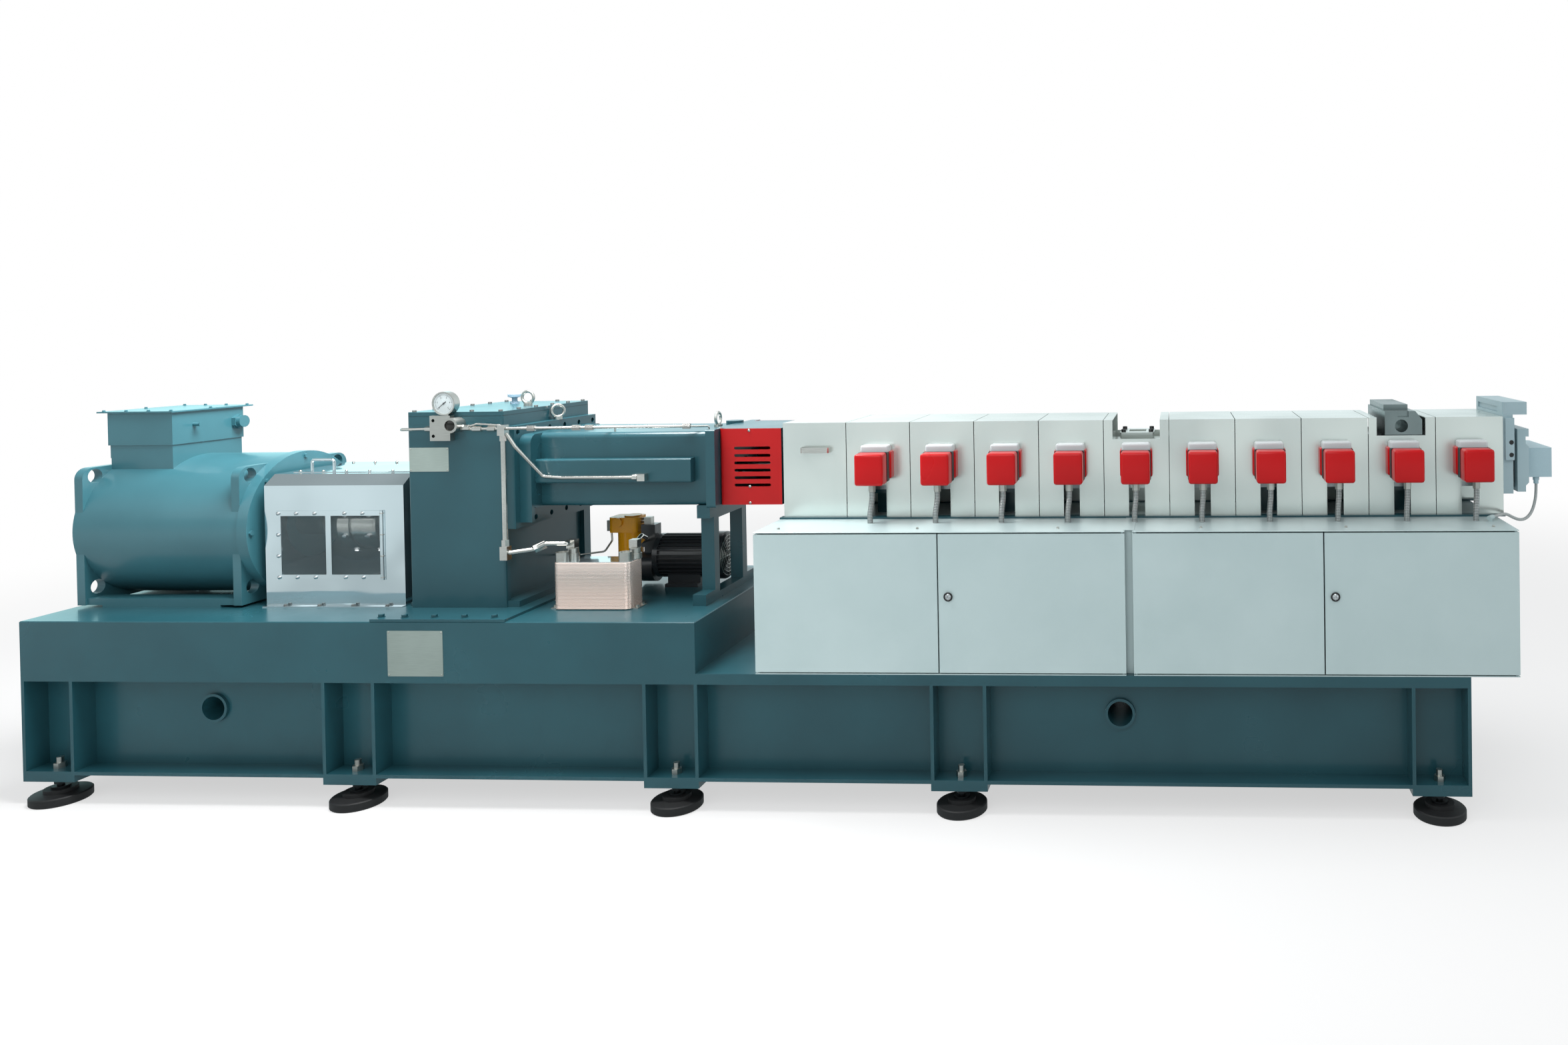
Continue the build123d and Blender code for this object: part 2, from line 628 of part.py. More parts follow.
# Terminal box on the motor: a collar, a slightly wider box, a lid with an overhang and two cable entries
terminal_left = motor_left + TERMINAL_INSET
terminal_right = terminal_left + TERMINAL_LENGTH
lid_top = TERMINAL_TOP_Z + LID_THICK
body_top = SHAFT_Z + MOTOR_BODY_RADIUS
with BuildPart() as terminal_box:
    collar_front = TERMINAL_FRONT_Y + TERMINAL_STEP
    collar_back = TERMINAL_BACK_Y - TERMINAL_STEP
    block(motor_left + MOTOR_FLANGE_THICK, terminal_right - TERMINAL_STEP, collar_front, collar_back,
          body_top - 2 * MOTOR_FLANGE_THICK, TERMINAL_SEAM_Z)
    block(terminal_left + TERMINAL_STEP, motor_left + MOTOR_FLANGE_THICK, collar_front, collar_back,
          body_top, TERMINAL_SEAM_Z)
    block(terminal_left, terminal_right, TERMINAL_FRONT_Y, TERMINAL_BACK_Y, TERMINAL_SEAM_Z, TERMINAL_TOP_Z)
    rod_x(motor_left, motor_right, 0, SHAFT_Z, MOTOR_BODY_RADIUS, mode=Mode.SUBTRACT)
    block(terminal_left - LID_OVER_LEFT, terminal_right + LID_OVER_RIGHT, TERMINAL_FRONT_Y - LID_OVER_RIGHT,
          TERMINAL_BACK_Y + LID_OVER_BACK, TERMINAL_TOP_Z, lid_top)
    hex_bar((terminal_right, GLAND_Y, GLAND_Z), (1, 0, 0), GLAND_LENGTH / 2, GLAND_RADIUS)
    rod_x(terminal_right, terminal_right + GLAND_LENGTH, GLAND_Y, GLAND_Z, GLAND_RADIUS * 0.8)
    with BuildSketch(Plane.XZ.offset(-NIPPLE_Y)):
        Polygon((terminal_right, NIPPLE_Z), (terminal_right, NIPPLE_Z + 8),
                (terminal_right + NIPPLE_LENGTH - 8, NIPPLE_Z + 8), (terminal_right + NIPPLE_LENGTH, NIPPLE_Z + 11),
                (terminal_right + NIPPLE_LENGTH, NIPPLE_Z), align=None)
    revolve(axis=Axis((terminal_right, NIPPLE_Y, NIPPLE_Z), (1, 0, 0)))
save(terminal_box, "terminal_box")

# Coupling guard: a folded sheet hood with a window, round openings at the shaft and a loose lid
guard_left = BASE_LEFT + GUARD_STATION
guard_right = guard_left + GUARD_LENGTH
guard_front = -GUARD_DEPTH / 2
window_left = guard_left + WINDOW_OFFSET
window_right = window_left + WINDOW_LENGTH
window_top = WINDOW_BOTTOM_Z + WINDOW_HEIGHT


def guard_outline(inset):
    """Corners of the hood's section across the machine, drawn in from the outside by the inset."""
    half = GUARD_DEPTH / 2 - inset
    top = GUARD_TOP_Z - inset
    return [(-half, PLINTH_Z), (half, PLINTH_Z), (half, GUARD_SHOULDER_Z), (half - GUARD_CHAMFER, top),
            (-half + GUARD_CHAMFER, top), (-half, GUARD_SHOULDER_Z)]


with BuildPart() as coupling_guard:
    with BuildSketch(Plane.YZ.offset(guard_left)):
        Polygon(*guard_outline(0), align=None)
    extrude(amount=GUARD_LENGTH)
    with BuildSketch(Plane.YZ.offset(guard_left + GUARD_SHEET)):
        Polygon(*guard_outline(GUARD_SHEET), align=None)
    extrude(amount=GUARD_LENGTH - 2 * GUARD_SHEET, mode=Mode.SUBTRACT)
    block(window_left, window_right, guard_front, guard_front + GUARD_SHEET, WINDOW_BOTTOM_Z, window_top,
          mode=Mode.SUBTRACT)
    rod_x(guard_left, guard_right, 0, SHAFT_Z, GUARD_BORE / 2, mode=Mode.SUBTRACT)
    for edge in (guard_front - GUARD_FOOT, -guard_front):
        block(guard_left, guard_right, edge, edge + GUARD_FOOT, PLINTH_Z, PLINTH_Z + GUARD_SHEET)
save(coupling_guard, "coupling_guard")

frame_front = guard_front - WINDOW_FRAME_THICK
mullion_left = window_left + WINDOW_SPLIT - WINDOW_MULLION / 2
with BuildPart() as guard_window_frame:
    block(window_left - WINDOW_FRAME, window_right + WINDOW_FRAME, frame_front, guard_front,
          WINDOW_BOTTOM_Z - WINDOW_FRAME, window_top + WINDOW_FRAME)
    block(window_left, mullion_left, frame_front, guard_front, WINDOW_BOTTOM_Z, window_top, mode=Mode.SUBTRACT)
    block(mullion_left + WINDOW_MULLION, window_right, frame_front, guard_front, WINDOW_BOTTOM_Z, window_top,
          mode=Mode.SUBTRACT)
    rod_z(window_right + WINDOW_FRAME / 2, frame_front, WINDOW_BOTTOM_Z - WINDOW_FRAME, window_top + WINDOW_FRAME,
          WINDOW_ROD_RADIUS)
    block(window_left, window_right + WINDOW_FRAME, guard_front, guard_front + WINDOW_ROD_RADIUS,
          WINDOW_BOTTOM_Z - WINDOW_FRAME, window_top + WINDOW_FRAME, mode=Mode.SUBTRACT)
save(guard_window_frame, "guard_window_frame")

with BuildPart() as guard_window_pane:
    block(window_left, window_right, guard_front, guard_front + GUARD_SHEET, WINDOW_BOTTOM_Z, window_top)
save(guard_window_pane, "guard_window_pane")

handle_left = guard_left + LID_HANDLE_LEFT
handle_right = handle_left + LID_HANDLE_LENGTH
lid_level = GUARD_TOP_Z + LID_SHEET
with BuildPart() as guard_lid:
    block(guard_left + LID_LEFT_INSET, guard_right - GUARD_SHEET, -LID_HALF_DEPTH, LID_HALF_DEPTH, GUARD_TOP_Z,
          lid_level)
    bent_tube([(handle_left, LID_HANDLE_Y, lid_level - 1), (handle_left, LID_HANDLE_Y, lid_level + LID_HANDLE_HEIGHT),
               (handle_right, LID_HANDLE_Y, lid_level + LID_HANDLE_HEIGHT),
               (handle_right, LID_HANDLE_Y, lid_level - 1)],
              HANDLE_ROD_RADIUS, 2 * HANDLE_ROD_RADIUS)
save(guard_lid, "guard_lid")

# Coupling: two turned and bolted halves, each on its own shaft end, that turn together
joint_x = guard_left + COUPLING_STATION
gearbox_left = BASE_LEFT + GEARBOX_STATION


def turned_profile(stations):
    """Corners of a turned piece above the shaft axis, from pairs of X and radius."""
    rim = [(x, SHAFT_Z + radius) for x, radius in stations]
    return [(stations[0][0], SHAFT_Z)] + rim + [(stations[-1][0], SHAFT_Z)]


def coupling_half(side, shaft_end):
    """One half, from its shaft end to the joint: shaft, hub, necked flange and a ring of bolts."""
    face = joint_x + side * COUPLING_FLANGE_THICK
    hub = face + side * COUPLING_HUB_LENGTH
    step = side * BOLT_HEAD_RADIUS
    with BuildSketch(Plane.XZ) as section:
        Polygon(*turned_profile([(shaft_end, SHAFT_RADIUS), (hub, SHAFT_RADIUS), (hub, COUPLING_HUB_RADIUS - 6),
                                 (hub - step, COUPLING_HUB_RADIUS), (face, COUPLING_HUB_RADIUS),
                                 (face, COUPLING_FLANGE_RADIUS - 4), (face - step / 2, COUPLING_FLANGE_RADIUS),
                                 (joint_x + side * 3 * BOLT_HEAD_RADIUS, COUPLING_FLANGE_RADIUS),
                                 (joint_x + side * 2.6 * BOLT_HEAD_RADIUS, COUPLING_FLANGE_RADIUS - 8),
                                 (joint_x, COUPLING_FLANGE_RADIUS - 8)]), align=None)
    revolve(section.sketch, axis=Axis((0, 0, SHAFT_Z), (1, 0, 0)))
    with BuildSketch(Plane(origin=(face, 0, SHAFT_Z), z_dir=(side, 0, 0))) as heads:
        with PolarLocations(COUPLING_BOLT_CIRCLE, COUPLING_BOLTS):
            RegularPolygon(BOLT_HEAD_RADIUS, 6)
    extrude(heads.sketch, amount=BOLT_HEAD_HEIGHT)


with BuildPart() as coupling_motor_half:
    coupling_half(-1, disc_right - SHAFT_SEAT + 5)
save(coupling_motor_half, "coupling_motor_half")

with BuildPart() as coupling_gearbox_half:
    coupling_half(1, gearbox_left + SHAFT_SEAT - 5)
save(coupling_gearbox_half, "coupling_gearbox_half")

# Gearbox: a tall welded housing on a sole plate, with a bolted cover on top and at the input shaft
gearbox_right = gearbox_left + GEARBOX_LENGTH
gearbox_front = -GEARBOX_DEPTH / 2
gearbox_back = GEARBOX_DEPTH / 2
sole_top = PLINTH_Z + SOLE_PLATE_THICK
with BuildPart() as gearbox_sole_plate:
    block(gearbox_left - SOLE_LEFT_MARGIN, gearbox_right + SOLE_RIGHT_MARGIN, FRONT_Y, BACK_Y, PLINTH_Z, sole_top)
save(gearbox_sole_plate, "gearbox_sole_plate")

seam_z = GEARBOX_TOP_Z - GEARBOX_COVER_THICK
with BuildPart() as gearbox_housing:
    block(gearbox_left, gearbox_right, gearbox_front, gearbox_back, sole_top, GEARBOX_TOP_Z)
    fillet(edges().filter_by(Axis.Z), GEARBOX_CORNER)
    with BuildSketch(Plane.XY.offset(seam_z - GEARBOX_SEAM)):
        with Locations(((gearbox_left + gearbox_right) / 2, 0)):
            Rectangle(GEARBOX_LENGTH + 1, GEARBOX_DEPTH + 1)
            Rectangle(GEARBOX_LENGTH - 2 * GEARBOX_SEAM, GEARBOX_DEPTH - 2 * GEARBOX_SEAM, mode=Mode.SUBTRACT)
    extrude(amount=GEARBOX_SEAM, mode=Mode.SUBTRACT)
    block(gearbox_right - PANEL_DEPTH, gearbox_right, gearbox_front + PANEL_FRONT_RIM, gearbox_back - PANEL_BACK_RIM,
          sole_top + LEDGE_HEIGHT, NECK_PLATE_BOTTOM_Z - PANEL_DEPTH, mode=Mode.SUBTRACT)
    block(gearbox_right, gearbox_right + LEDGE_DEPTH, gearbox_front + LEDGE_INSET, gearbox_back - LEDGE_INSET, sole_top,
          sole_top + LEDGE_HEIGHT)
    rod_x(gearbox_left - INPUT_COVER_THICK, gearbox_left, 0, SHAFT_Z, INPUT_COVER_RADIUS)
    rod_x(gearbox_left - INPUT_COVER_THICK, gearbox_left, 0, SHAFT_Z, INPUT_COVER_BORE, mode=Mode.SUBTRACT)
    rod_x(gearbox_left, gearbox_left + SHAFT_SEAT, 0, SHAFT_Z, SHAFT_RADIUS + FIT, mode=Mode.SUBTRACT)
    with BuildSketch(Plane(origin=(gearbox_left - INPUT_COVER_THICK, 0, SHAFT_Z), z_dir=(-1, 0, 0))):
        with PolarLocations((INPUT_COVER_RADIUS + INPUT_COVER_BORE) / 2, 6):
            RegularPolygon(BOLT_HEAD_RADIUS, 6)
    extrude(amount=BOLT_HEAD_HEIGHT)
save(gearbox_housing, "gearbox_housing")

with BuildPart() as gearbox_breather:
    with BuildSketch(Plane.XZ.offset(-BREATHER_Y)):
        x = gearbox_left + BREATHER_DX
        z = GEARBOX_TOP_Z
        Polygon((x, z), (x + 18, z), (x + 18, z + 8), (x + 11, z + 12), (x + 11, z + 26), (x + 27, z + 31),
                (x + 27, z + 42), (x + 18, z + 50), (x, z + 52), align=None)
    revolve(axis=Axis((gearbox_left + BREATHER_DX, BREATHER_Y, 0), (0, 0, 1)))
save(gearbox_breather, "gearbox_breather")

# Neck: a bolting plate, a rounded block and two cheeks that reach below the block
plate_right = gearbox_right + NECK_PLATE_THICK
neck_right = gearbox_right + NECK_LENGTH
neck_height = DISTRIBUTION_TOP_Z - DISTRIBUTION_BOTTOM_Z
neck_mid_z = (DISTRIBUTION_TOP_Z + DISTRIBUTION_BOTTOM_Z) / 2
with BuildPart() as gearbox_neck:
    block(gearbox_right, plate_right, -NECK_PLATE_DEPTH / 2, NECK_PLATE_DEPTH / 2, NECK_PLATE_BOTTOM_Z,
          NECK_PLATE_TOP_Z)
    with BuildSketch(Plane.YZ.offset(plate_right)):
        with Locations((0, NECK_PLATE_TOP_Z - NECK_HOLE_INSET)):
            with GridLocations(NECK_HOLE_SPACING, 1, 6, 1):
                Circle(NECK_HOLE_RADIUS)
        with Locations((0, NECK_PLATE_BOTTOM_Z + NECK_HOLE_INSET)):
            with GridLocations(NECK_HOLE_SPACING, 1, 4, 1):
                Circle(NECK_HOLE_RADIUS)
    extrude(amount=-NECK_HOLE_DEPTH, mode=Mode.SUBTRACT)
    with BuildSketch(Plane.YZ.offset(plate_right)):
        with Locations((0, neck_mid_z)):
            RectangleRounded(NECK_DEPTH, neck_height, NECK_CORNER)
        for side in (-1, 1):
            with Locations((side * (NECK_DEPTH - NECK_CHEEK) / 2, (neck_mid_z + NECK_CHEEK_BOTTOM_Z) / 2)):
                Rectangle(NECK_CHEEK, neck_mid_z - NECK_CHEEK_BOTTOM_Z)
    extrude(amount=neck_right - plate_right)
save(gearbox_neck, "gearbox_neck")

# Distribution gear housing: rounded body, long side ribs, end flange and a low round cover
flange_left = neck_right + DISTRIBUTION_LENGTH
flange_right = flange_left + END_FLANGE_THICK
with BuildPart() as distribution_housing:
    with BuildSketch(Plane.YZ.offset(neck_right)):
        with Locations((0, neck_mid_z)):
            RectangleRounded(DISTRIBUTION_DEPTH, neck_height, DISTRIBUTION_CORNER)
    extrude(amount=flange_left - neck_right)
    with BuildSketch(Plane.YZ.offset(neck_right)):
        with Locations((0, (RIB_TOP_Z + RIB_BOTTOM_Z) / 2)):
            RectangleRounded(DISTRIBUTION_DEPTH + 2 * RIB_PROUD, RIB_TOP_Z - RIB_BOTTOM_Z, RIB_CORNER)
    extrude(amount=flange_left - RIB_SETBACK - neck_right)
    with BuildSketch(Plane.YZ.offset(flange_left)):
        with Locations((0, (END_FLANGE_TOP_Z + END_FLANGE_BOTTOM_Z) / 2)):
            RectangleRounded(END_FLANGE_DEPTH, END_FLANGE_TOP_Z - END_FLANGE_BOTTOM_Z, RIB_CORNER)
    extrude(amount=END_FLANGE_THICK)
    rod_z(flange_left - DOME_SETBACK, DOME_Y, DISTRIBUTION_TOP_Z, END_FLANGE_TOP_Z + DOME_HEIGHT, DOME_RADIUS)
save(distribution_housing, "distribution_housing")

eye_spots = [
    (gearbox_left + EYE_STATION, 0, GEARBOX_TOP_Z, 0),
    (gearbox_right + EYE_SETBACK, EYE_SETBACK, NECK_PLATE_TOP_Z, 45),
    (flange_left - 50, 0, DISTRIBUTION_TOP_Z, 90),
]
with BuildPart() as lifting_eyes:
    for x, y, z, turn in eye_spots:
        rod_z(x, y, z, z + EYE_COLLAR_HEIGHT, EYE_COLLAR_RADIUS)
        ring_z = z + EYE_COLLAR_HEIGHT + EYE_RING_RADIUS
        with Locations(Location((x, y, ring_z), (0, 0, turn))):
            Torus(EYE_RING_RADIUS, EYE_BAR_RADIUS, rotation=(90, 0, 0))
save(lifting_eyes, "lifting_eyes")

# Stand under the distribution housing: a portal frame with a wide foot and a wide top beam
stand_left = flange_left - STAND_INSET
with BuildPart() as gearbox_stand:
    with BuildSketch(Plane.YZ.offset(stand_left)):
        window_low = PLINTH_Z + STAND_SILL
        window_high = DISTRIBUTION_BOTTOM_Z - STAND_LINTEL
        with Locations((0, (PLINTH_Z + DISTRIBUTION_BOTTOM_Z) / 2)):
            Rectangle(2 * STAND_HALF_WIDTH, DISTRIBUTION_BOTTOM_Z - PLINTH_Z)
        with Locations((0, PLINTH_Z + STAND_FOOT_HEIGHT / 2)):
            Rectangle(2 * STAND_FOOT_HALF, STAND_FOOT_HEIGHT)
        with Locations((0, DISTRIBUTION_BOTTOM_Z - STAND_BEAM_HEIGHT / 2)):
            Rectangle(DISTRIBUTION_DEPTH, STAND_BEAM_HEIGHT)
        with Locations((0, (window_low + window_high) / 2)):
            Rectangle(2 * (STAND_HALF_WIDTH - STAND_POST), window_high - window_low, mode=Mode.SUBTRACT)
    extrude(amount=STAND_THICK)
save(gearbox_stand, "gearbox_stand")

# Lantern: an open frame with slotted side guards, and the two screw shafts that run through it
lantern_left = flange_right
lantern_right = COVER_LEFT - LANTERN_GAP
lantern_top = END_FLANGE_TOP_Z
lantern_mid_z = (LANTERN_BOTTOM_Z + lantern_top) / 2
lip_half = LANTERN_HALF + LANTERN_GUARD_SHEET - LANTERN_GUARD_LIP - FIT
plate_left = lantern_left + LANTERN_END_PLATE
with BuildPart() as lantern_frame:
    for z0 in (LANTERN_BOTTOM_Z, lantern_top - LANTERN_PLATE):
        block(plate_left, lantern_right, -LANTERN_HALF, LANTERN_HALF, z0, z0 + LANTERN_PLATE)
        block(lantern_left, plate_left, -lip_half, lip_half, z0, z0 + LANTERN_PLATE)
    block(lantern_left, plate_left, -lip_half, lip_half, LANTERN_BOTTOM_Z, lantern_top)
    block(lantern_right - LANTERN_RIGHT_PLATE, lantern_right, -LANTERN_HALF, LANTERN_HALF,
          LANTERN_BOTTOM_Z, lantern_top)
    rod_x(lantern_right, COVER_LEFT, 0, BARREL_Z, LANTERN_SPIGOT)
    for y in (-SCREW_OFFSET, SCREW_OFFSET):
        rod_x(lantern_left, COVER_LEFT, y, BARREL_Z, BORE_RADIUS, mode=Mode.SUBTRACT)
save(lantern_frame, "lantern_frame")

guard_outer = LANTERN_HALF + LANTERN_GUARD_SHEET
with BuildPart() as lantern_guards:
    with BuildSketch(Plane.XY.offset(LANTERN_BOTTOM_Z)):
        with BuildLine():
            FilletPolyline((lantern_left, LANTERN_GUARD_LIP - guard_outer), (lantern_left, -guard_outer),
                           (lantern_right, -guard_outer), radius=LANTERN_GUARD_BEND)
            Line((lantern_right, -guard_outer), (lantern_right, -LANTERN_HALF))
            FilletPolyline((lantern_right, -LANTERN_HALF), (lantern_left + LANTERN_GUARD_SHEET, -LANTERN_HALF),
                           (lantern_left + LANTERN_GUARD_SHEET, LANTERN_GUARD_LIP - guard_outer),
                           radius=LANTERN_GUARD_BEND - LANTERN_GUARD_SHEET)
            Line((lantern_left + LANTERN_GUARD_SHEET, LANTERN_GUARD_LIP - guard_outer),
                 (lantern_left, LANTERN_GUARD_LIP - guard_outer))
        make_face()
    extrude(amount=lantern_top - LANTERN_BOTTOM_Z)
    with BuildSketch(Plane.XZ.offset(LANTERN_HALF)):
        with Locations(((lantern_left + lantern_right + LANTERN_GUARD_BEND) / 2, lantern_mid_z)):
            with GridLocations(1, VENT_SLOT_PITCH, 1, VENT_SLOTS):
                SlotOverall(VENT_SLOT_LENGTH, VENT_SLOT_HEIGHT)
    extrude(amount=LANTERN_GUARD_SHEET, mode=Mode.SUBTRACT)
    mirror(about=Plane.XZ)
save(lantern_guards, "lantern_guards")

with BuildPart() as screw_shafts:
    for y in (-SCREW_OFFSET, SCREW_OFFSET):
        rod_x(lantern_left, COVER_LEFT + SCREW_REACH, y, BARREL_Z, SCREW_RADIUS)
        rod_x(plate_left + SLEEVE_RADIUS, plate_left + 4 * SLEEVE_RADIUS, y, BARREL_Z, SLEEVE_RADIUS)
save(screw_shafts, "screw_shafts")

# Lubrication on the gearbox front: manifold with a sight head, pressure gauge and tubes
manifold_left = gearbox_left + MANIFOLD_DX
manifold_front = gearbox_front - MANIFOLD_DEPTH
manifold_mid_z = MANIFOLD_BOTTOM_Z + MANIFOLD_HEIGHT / 2
head_x = gearbox_left + HEAD_DX
with BuildPart() as oil_manifold:
    block(manifold_left, manifold_left + MANIFOLD_LENGTH, manifold_front, gearbox_front, MANIFOLD_BOTTOM_Z,
          MANIFOLD_BOTTOM_Z + MANIFOLD_HEIGHT)
    for z in (manifold_mid_z - MANIFOLD_HOLE_SPACING / 2, manifold_mid_z + MANIFOLD_HOLE_SPACING / 2):
        rod_y(manifold_left + 2.2 * MANIFOLD_HOLE_RADIUS, manifold_front, gearbox_front, z, MANIFOLD_HOLE_RADIUS,
              mode=Mode.SUBTRACT)
    rod_y(head_x, gearbox_front - HEAD_LENGTH, gearbox_front, HEAD_Z, HEAD_RADIUS)
    rod_y(head_x, gearbox_front - HEAD_LENGTH, gearbox_front - HEAD_LENGTH + 6, HEAD_Z, HEAD_RADIUS * 0.7,
          mode=Mode.SUBTRACT)
save(oil_manifold, "oil_manifold")

gauge_x = gearbox_left + GAUGE_DX
gauge_back = gearbox_front - 2
with BuildPart() as pressure_gauge:
    rod_y(gauge_x, gauge_back - GAUGE_DEPTH, gauge_back, GAUGE_Z, GAUGE_RADIUS)
    rod_y(gauge_x, gauge_back - GAUGE_DEPTH, gauge_back - GAUGE_DEPTH + 4, GAUGE_Z, GAUGE_RADIUS - 5,
          mode=Mode.SUBTRACT)
    rod_z(gauge_x, gearbox_front - MANIFOLD_DEPTH / 2, MANIFOLD_BOTTOM_Z + MANIFOLD_HEIGHT,
          GAUGE_Z - GAUGE_RADIUS + 4, 8)
save(pressure_gauge, "pressure_gauge")

oil_y = manifold_front
tee_x = gearbox_right + TEE_DX
exchanger_left = neck_right + EXCHANGER_DX
stub_y = EXCHANGER_FRONT_Y + STUB_DY
stub_left_x = exchanger_left + STUB_LEFT_DX
stub_right_x = stub_left_x + PORT_SPAN
stub_top = EXCHANGER_TOP_Z + STUB_HEIGHT
elbow_z = stub_top + PORT_ELBOW_HEIGHT / 2
riser_bottom = ELBOW_BOTTOM_Z + ELBOW_HEIGHT
rib_face = -DISTRIBUTION_DEPTH / 2 - RIB_PROUD
run_end_x = flange_left - 80
pump_motor_left = neck_right + PUMP_MOTOR_DX
pump_right = pump_motor_left - PUMP_BELL
pump_left = pump_right - PUMP_LENGTH
with BuildPart() as oil_pipework:
    hex_bar((manifold_left, oil_y + MANIFOLD_DEPTH / 2, OIL_LINE_Z), (-1, 0, 0), 24, NUT_HEX_RADIUS)
    bent_tube([(manifold_left - 20, oil_y + MANIFOLD_DEPTH / 2, OIL_LINE_Z),
               (gearbox_left - 18, oil_y + MANIFOLD_DEPTH / 2, OIL_LINE_Z - 2),
               (gearbox_left - 18, gearbox_front + 30, OIL_LINE_Z - 6),
               (gearbox_left, gearbox_front + 30, OIL_LINE_Z - 6)], TUBE_RADIUS, 9)
    hex_bar((head_x + HEAD_RADIUS, oil_y, OIL_LINE_Z + 4), (1, 0, 0), 34, NUT_HEX_RADIUS)
    hex_bar((head_x + HEAD_RADIUS + 46, oil_y, OIL_LINE_Z), (1, 0, 0), 36, NUT_HEX_RADIUS)
    hex_bar((tee_x - 60, oil_y, OIL_LINE_Z), (1, 0, 0), 30, NUT_HEX_RADIUS)
    rod_x(head_x + HEAD_RADIUS + 20, tee_x, oil_y, OIL_LINE_Z, TUBE_RADIUS + 1)
    bent_tube([(head_x + HEAD_RADIUS + 20, oil_y, OIL_LINE_Z + 6), (head_x + HEAD_RADIUS + 60, oil_y, OIL_LINE_Z + 20),
               (tee_x - 20, oil_y, OIL_LINE_Z + 14), (tee_x + 4, oil_y, OIL_LINE_Z + 10)], THIN_TUBE_RADIUS, 20)
    block(tee_x - TEE_BODY / 2, tee_x + TEE_BODY / 2, oil_y - TEE_BODY / 2, oil_y + TEE_BODY / 2,
          OIL_LINE_Z - 27, OIL_LINE_Z + 15)
    rod_z(tee_x, oil_y, riser_bottom, OIL_LINE_Z, RISER_RADIUS)
    hex_bar((tee_x, oil_y, OIL_LINE_Z - 27), (0, 0, -1), 22, RISER_RADIUS + 4)
    hex_bar((tee_x, oil_y, riser_bottom), (0, 0, 1), 26, RISER_RADIUS + 5)
    block(tee_x - TEE_BODY / 2, tee_x + TEE_BODY / 2, oil_y - TEE_BODY / 2, oil_y + TEE_BODY / 2, ELBOW_BOTTOM_Z,
          riser_bottom)
    run_start = (tee_x, oil_y, OIL_LINE_Z)
    run_end = (run_end_x, -DISTRIBUTION_DEPTH / 2 - 15, OIL_LINE_Z - 8)
    run = Vector(*run_end) - Vector(*run_start)
    run_dir = run.normalized()
    with BuildSketch(Plane(origin=run_start, z_dir=run_dir)) as run_section:
        Circle(TUBE_RADIUS)
    extrude(run_section.sketch, amount=run.length)
    for share in (0.13, 0.37, 0.44, 0.97):
        hex_bar(tuple(Vector(*run_start) + run * share), tuple(run_dir), 30, NUT_HEX_RADIUS)
    for share in (0.42, 0.99):
        foot = Vector(*run_start) + run * share
        bent_tube([tuple(foot), (foot.X + 30, foot.Y + 30, foot.Z - 4),
                   (foot.X + 66, -DISTRIBUTION_DEPTH / 2 + 45, foot.Z - 6),
                   (foot.X + 66, -DISTRIBUTION_DEPTH / 2 + 45, DISTRIBUTION_TOP_Z)], THIN_TUBE_RADIUS, 8)
    bent_tube([(tee_x + TEE_BODY / 2 - 2, oil_y, OIL_LINE_Z - 20), (tee_x + 40, oil_y + 12, OIL_LINE_Z - 74),
               (neck_right + 43, rib_face - 18, RIB_BOTTOM_Z + 31),
               (neck_right + 120, rib_face - 18, RIB_BOTTOM_Z + 25),
               (flange_left - 287, rib_face - 18, RIB_BOTTOM_Z + 25)], TUBE_RADIUS + 1, 14)
    hex_bar((flange_left - 292, rib_face - 18, RIB_BOTTOM_Z + 25), (1, 0, 0), 20, NUT_HEX_RADIUS)
    block(flange_left - 268, flange_left - 237, rib_face - 32, rib_face, RIB_BOTTOM_Z + 11, RIB_BOTTOM_Z + 39)
    rod_x(flange_left - 275, flange_left - 266, rib_face - 18, RIB_BOTTOM_Z + 25, TUBE_RADIUS + 2)
    bent_tube([(tee_x, oil_y, ELBOW_BOTTOM_Z + 26), (tee_x + 90, oil_y + 40, elbow_z - 8),
               (tee_x + 135, stub_y - 70, elbow_z + 14), (stub_left_x, stub_y - 40, elbow_z + 8),
               (stub_left_x, stub_y, elbow_z)], RISER_RADIUS - 1, 16)
    hex_bar((tee_x + 92, oil_y + 41, elbow_z - 7), (45, 29, 21), 44, RISER_RADIUS + 8)
    for x in (stub_left_x, stub_right_x):
        block(x - PORT_ELBOW / 2, x + PORT_ELBOW / 2, stub_y - PORT_ELBOW / 2, stub_y + PORT_ELBOW / 2, stub_top,
              stub_top + PORT_ELBOW_HEIGHT)
    bent_tube([(stub_right_x, stub_y, elbow_z), (stub_right_x - 8, stub_y + 70, elbow_z + 18),
               (stub_right_x - 40, PUMP_Y - 210, elbow_z - 10),
               (pump_left + PUMP_LENGTH / 2, PUMP_Y - 100, VALVE_BOTTOM_Z + 35),
               (pump_left + PUMP_LENGTH / 2, PUMP_Y - VALVE_DEPTH / 2, VALVE_BOTTOM_Z + 35)], RISER_RADIUS - 1, 24)
save(oil_pipework, "oil_pipework")

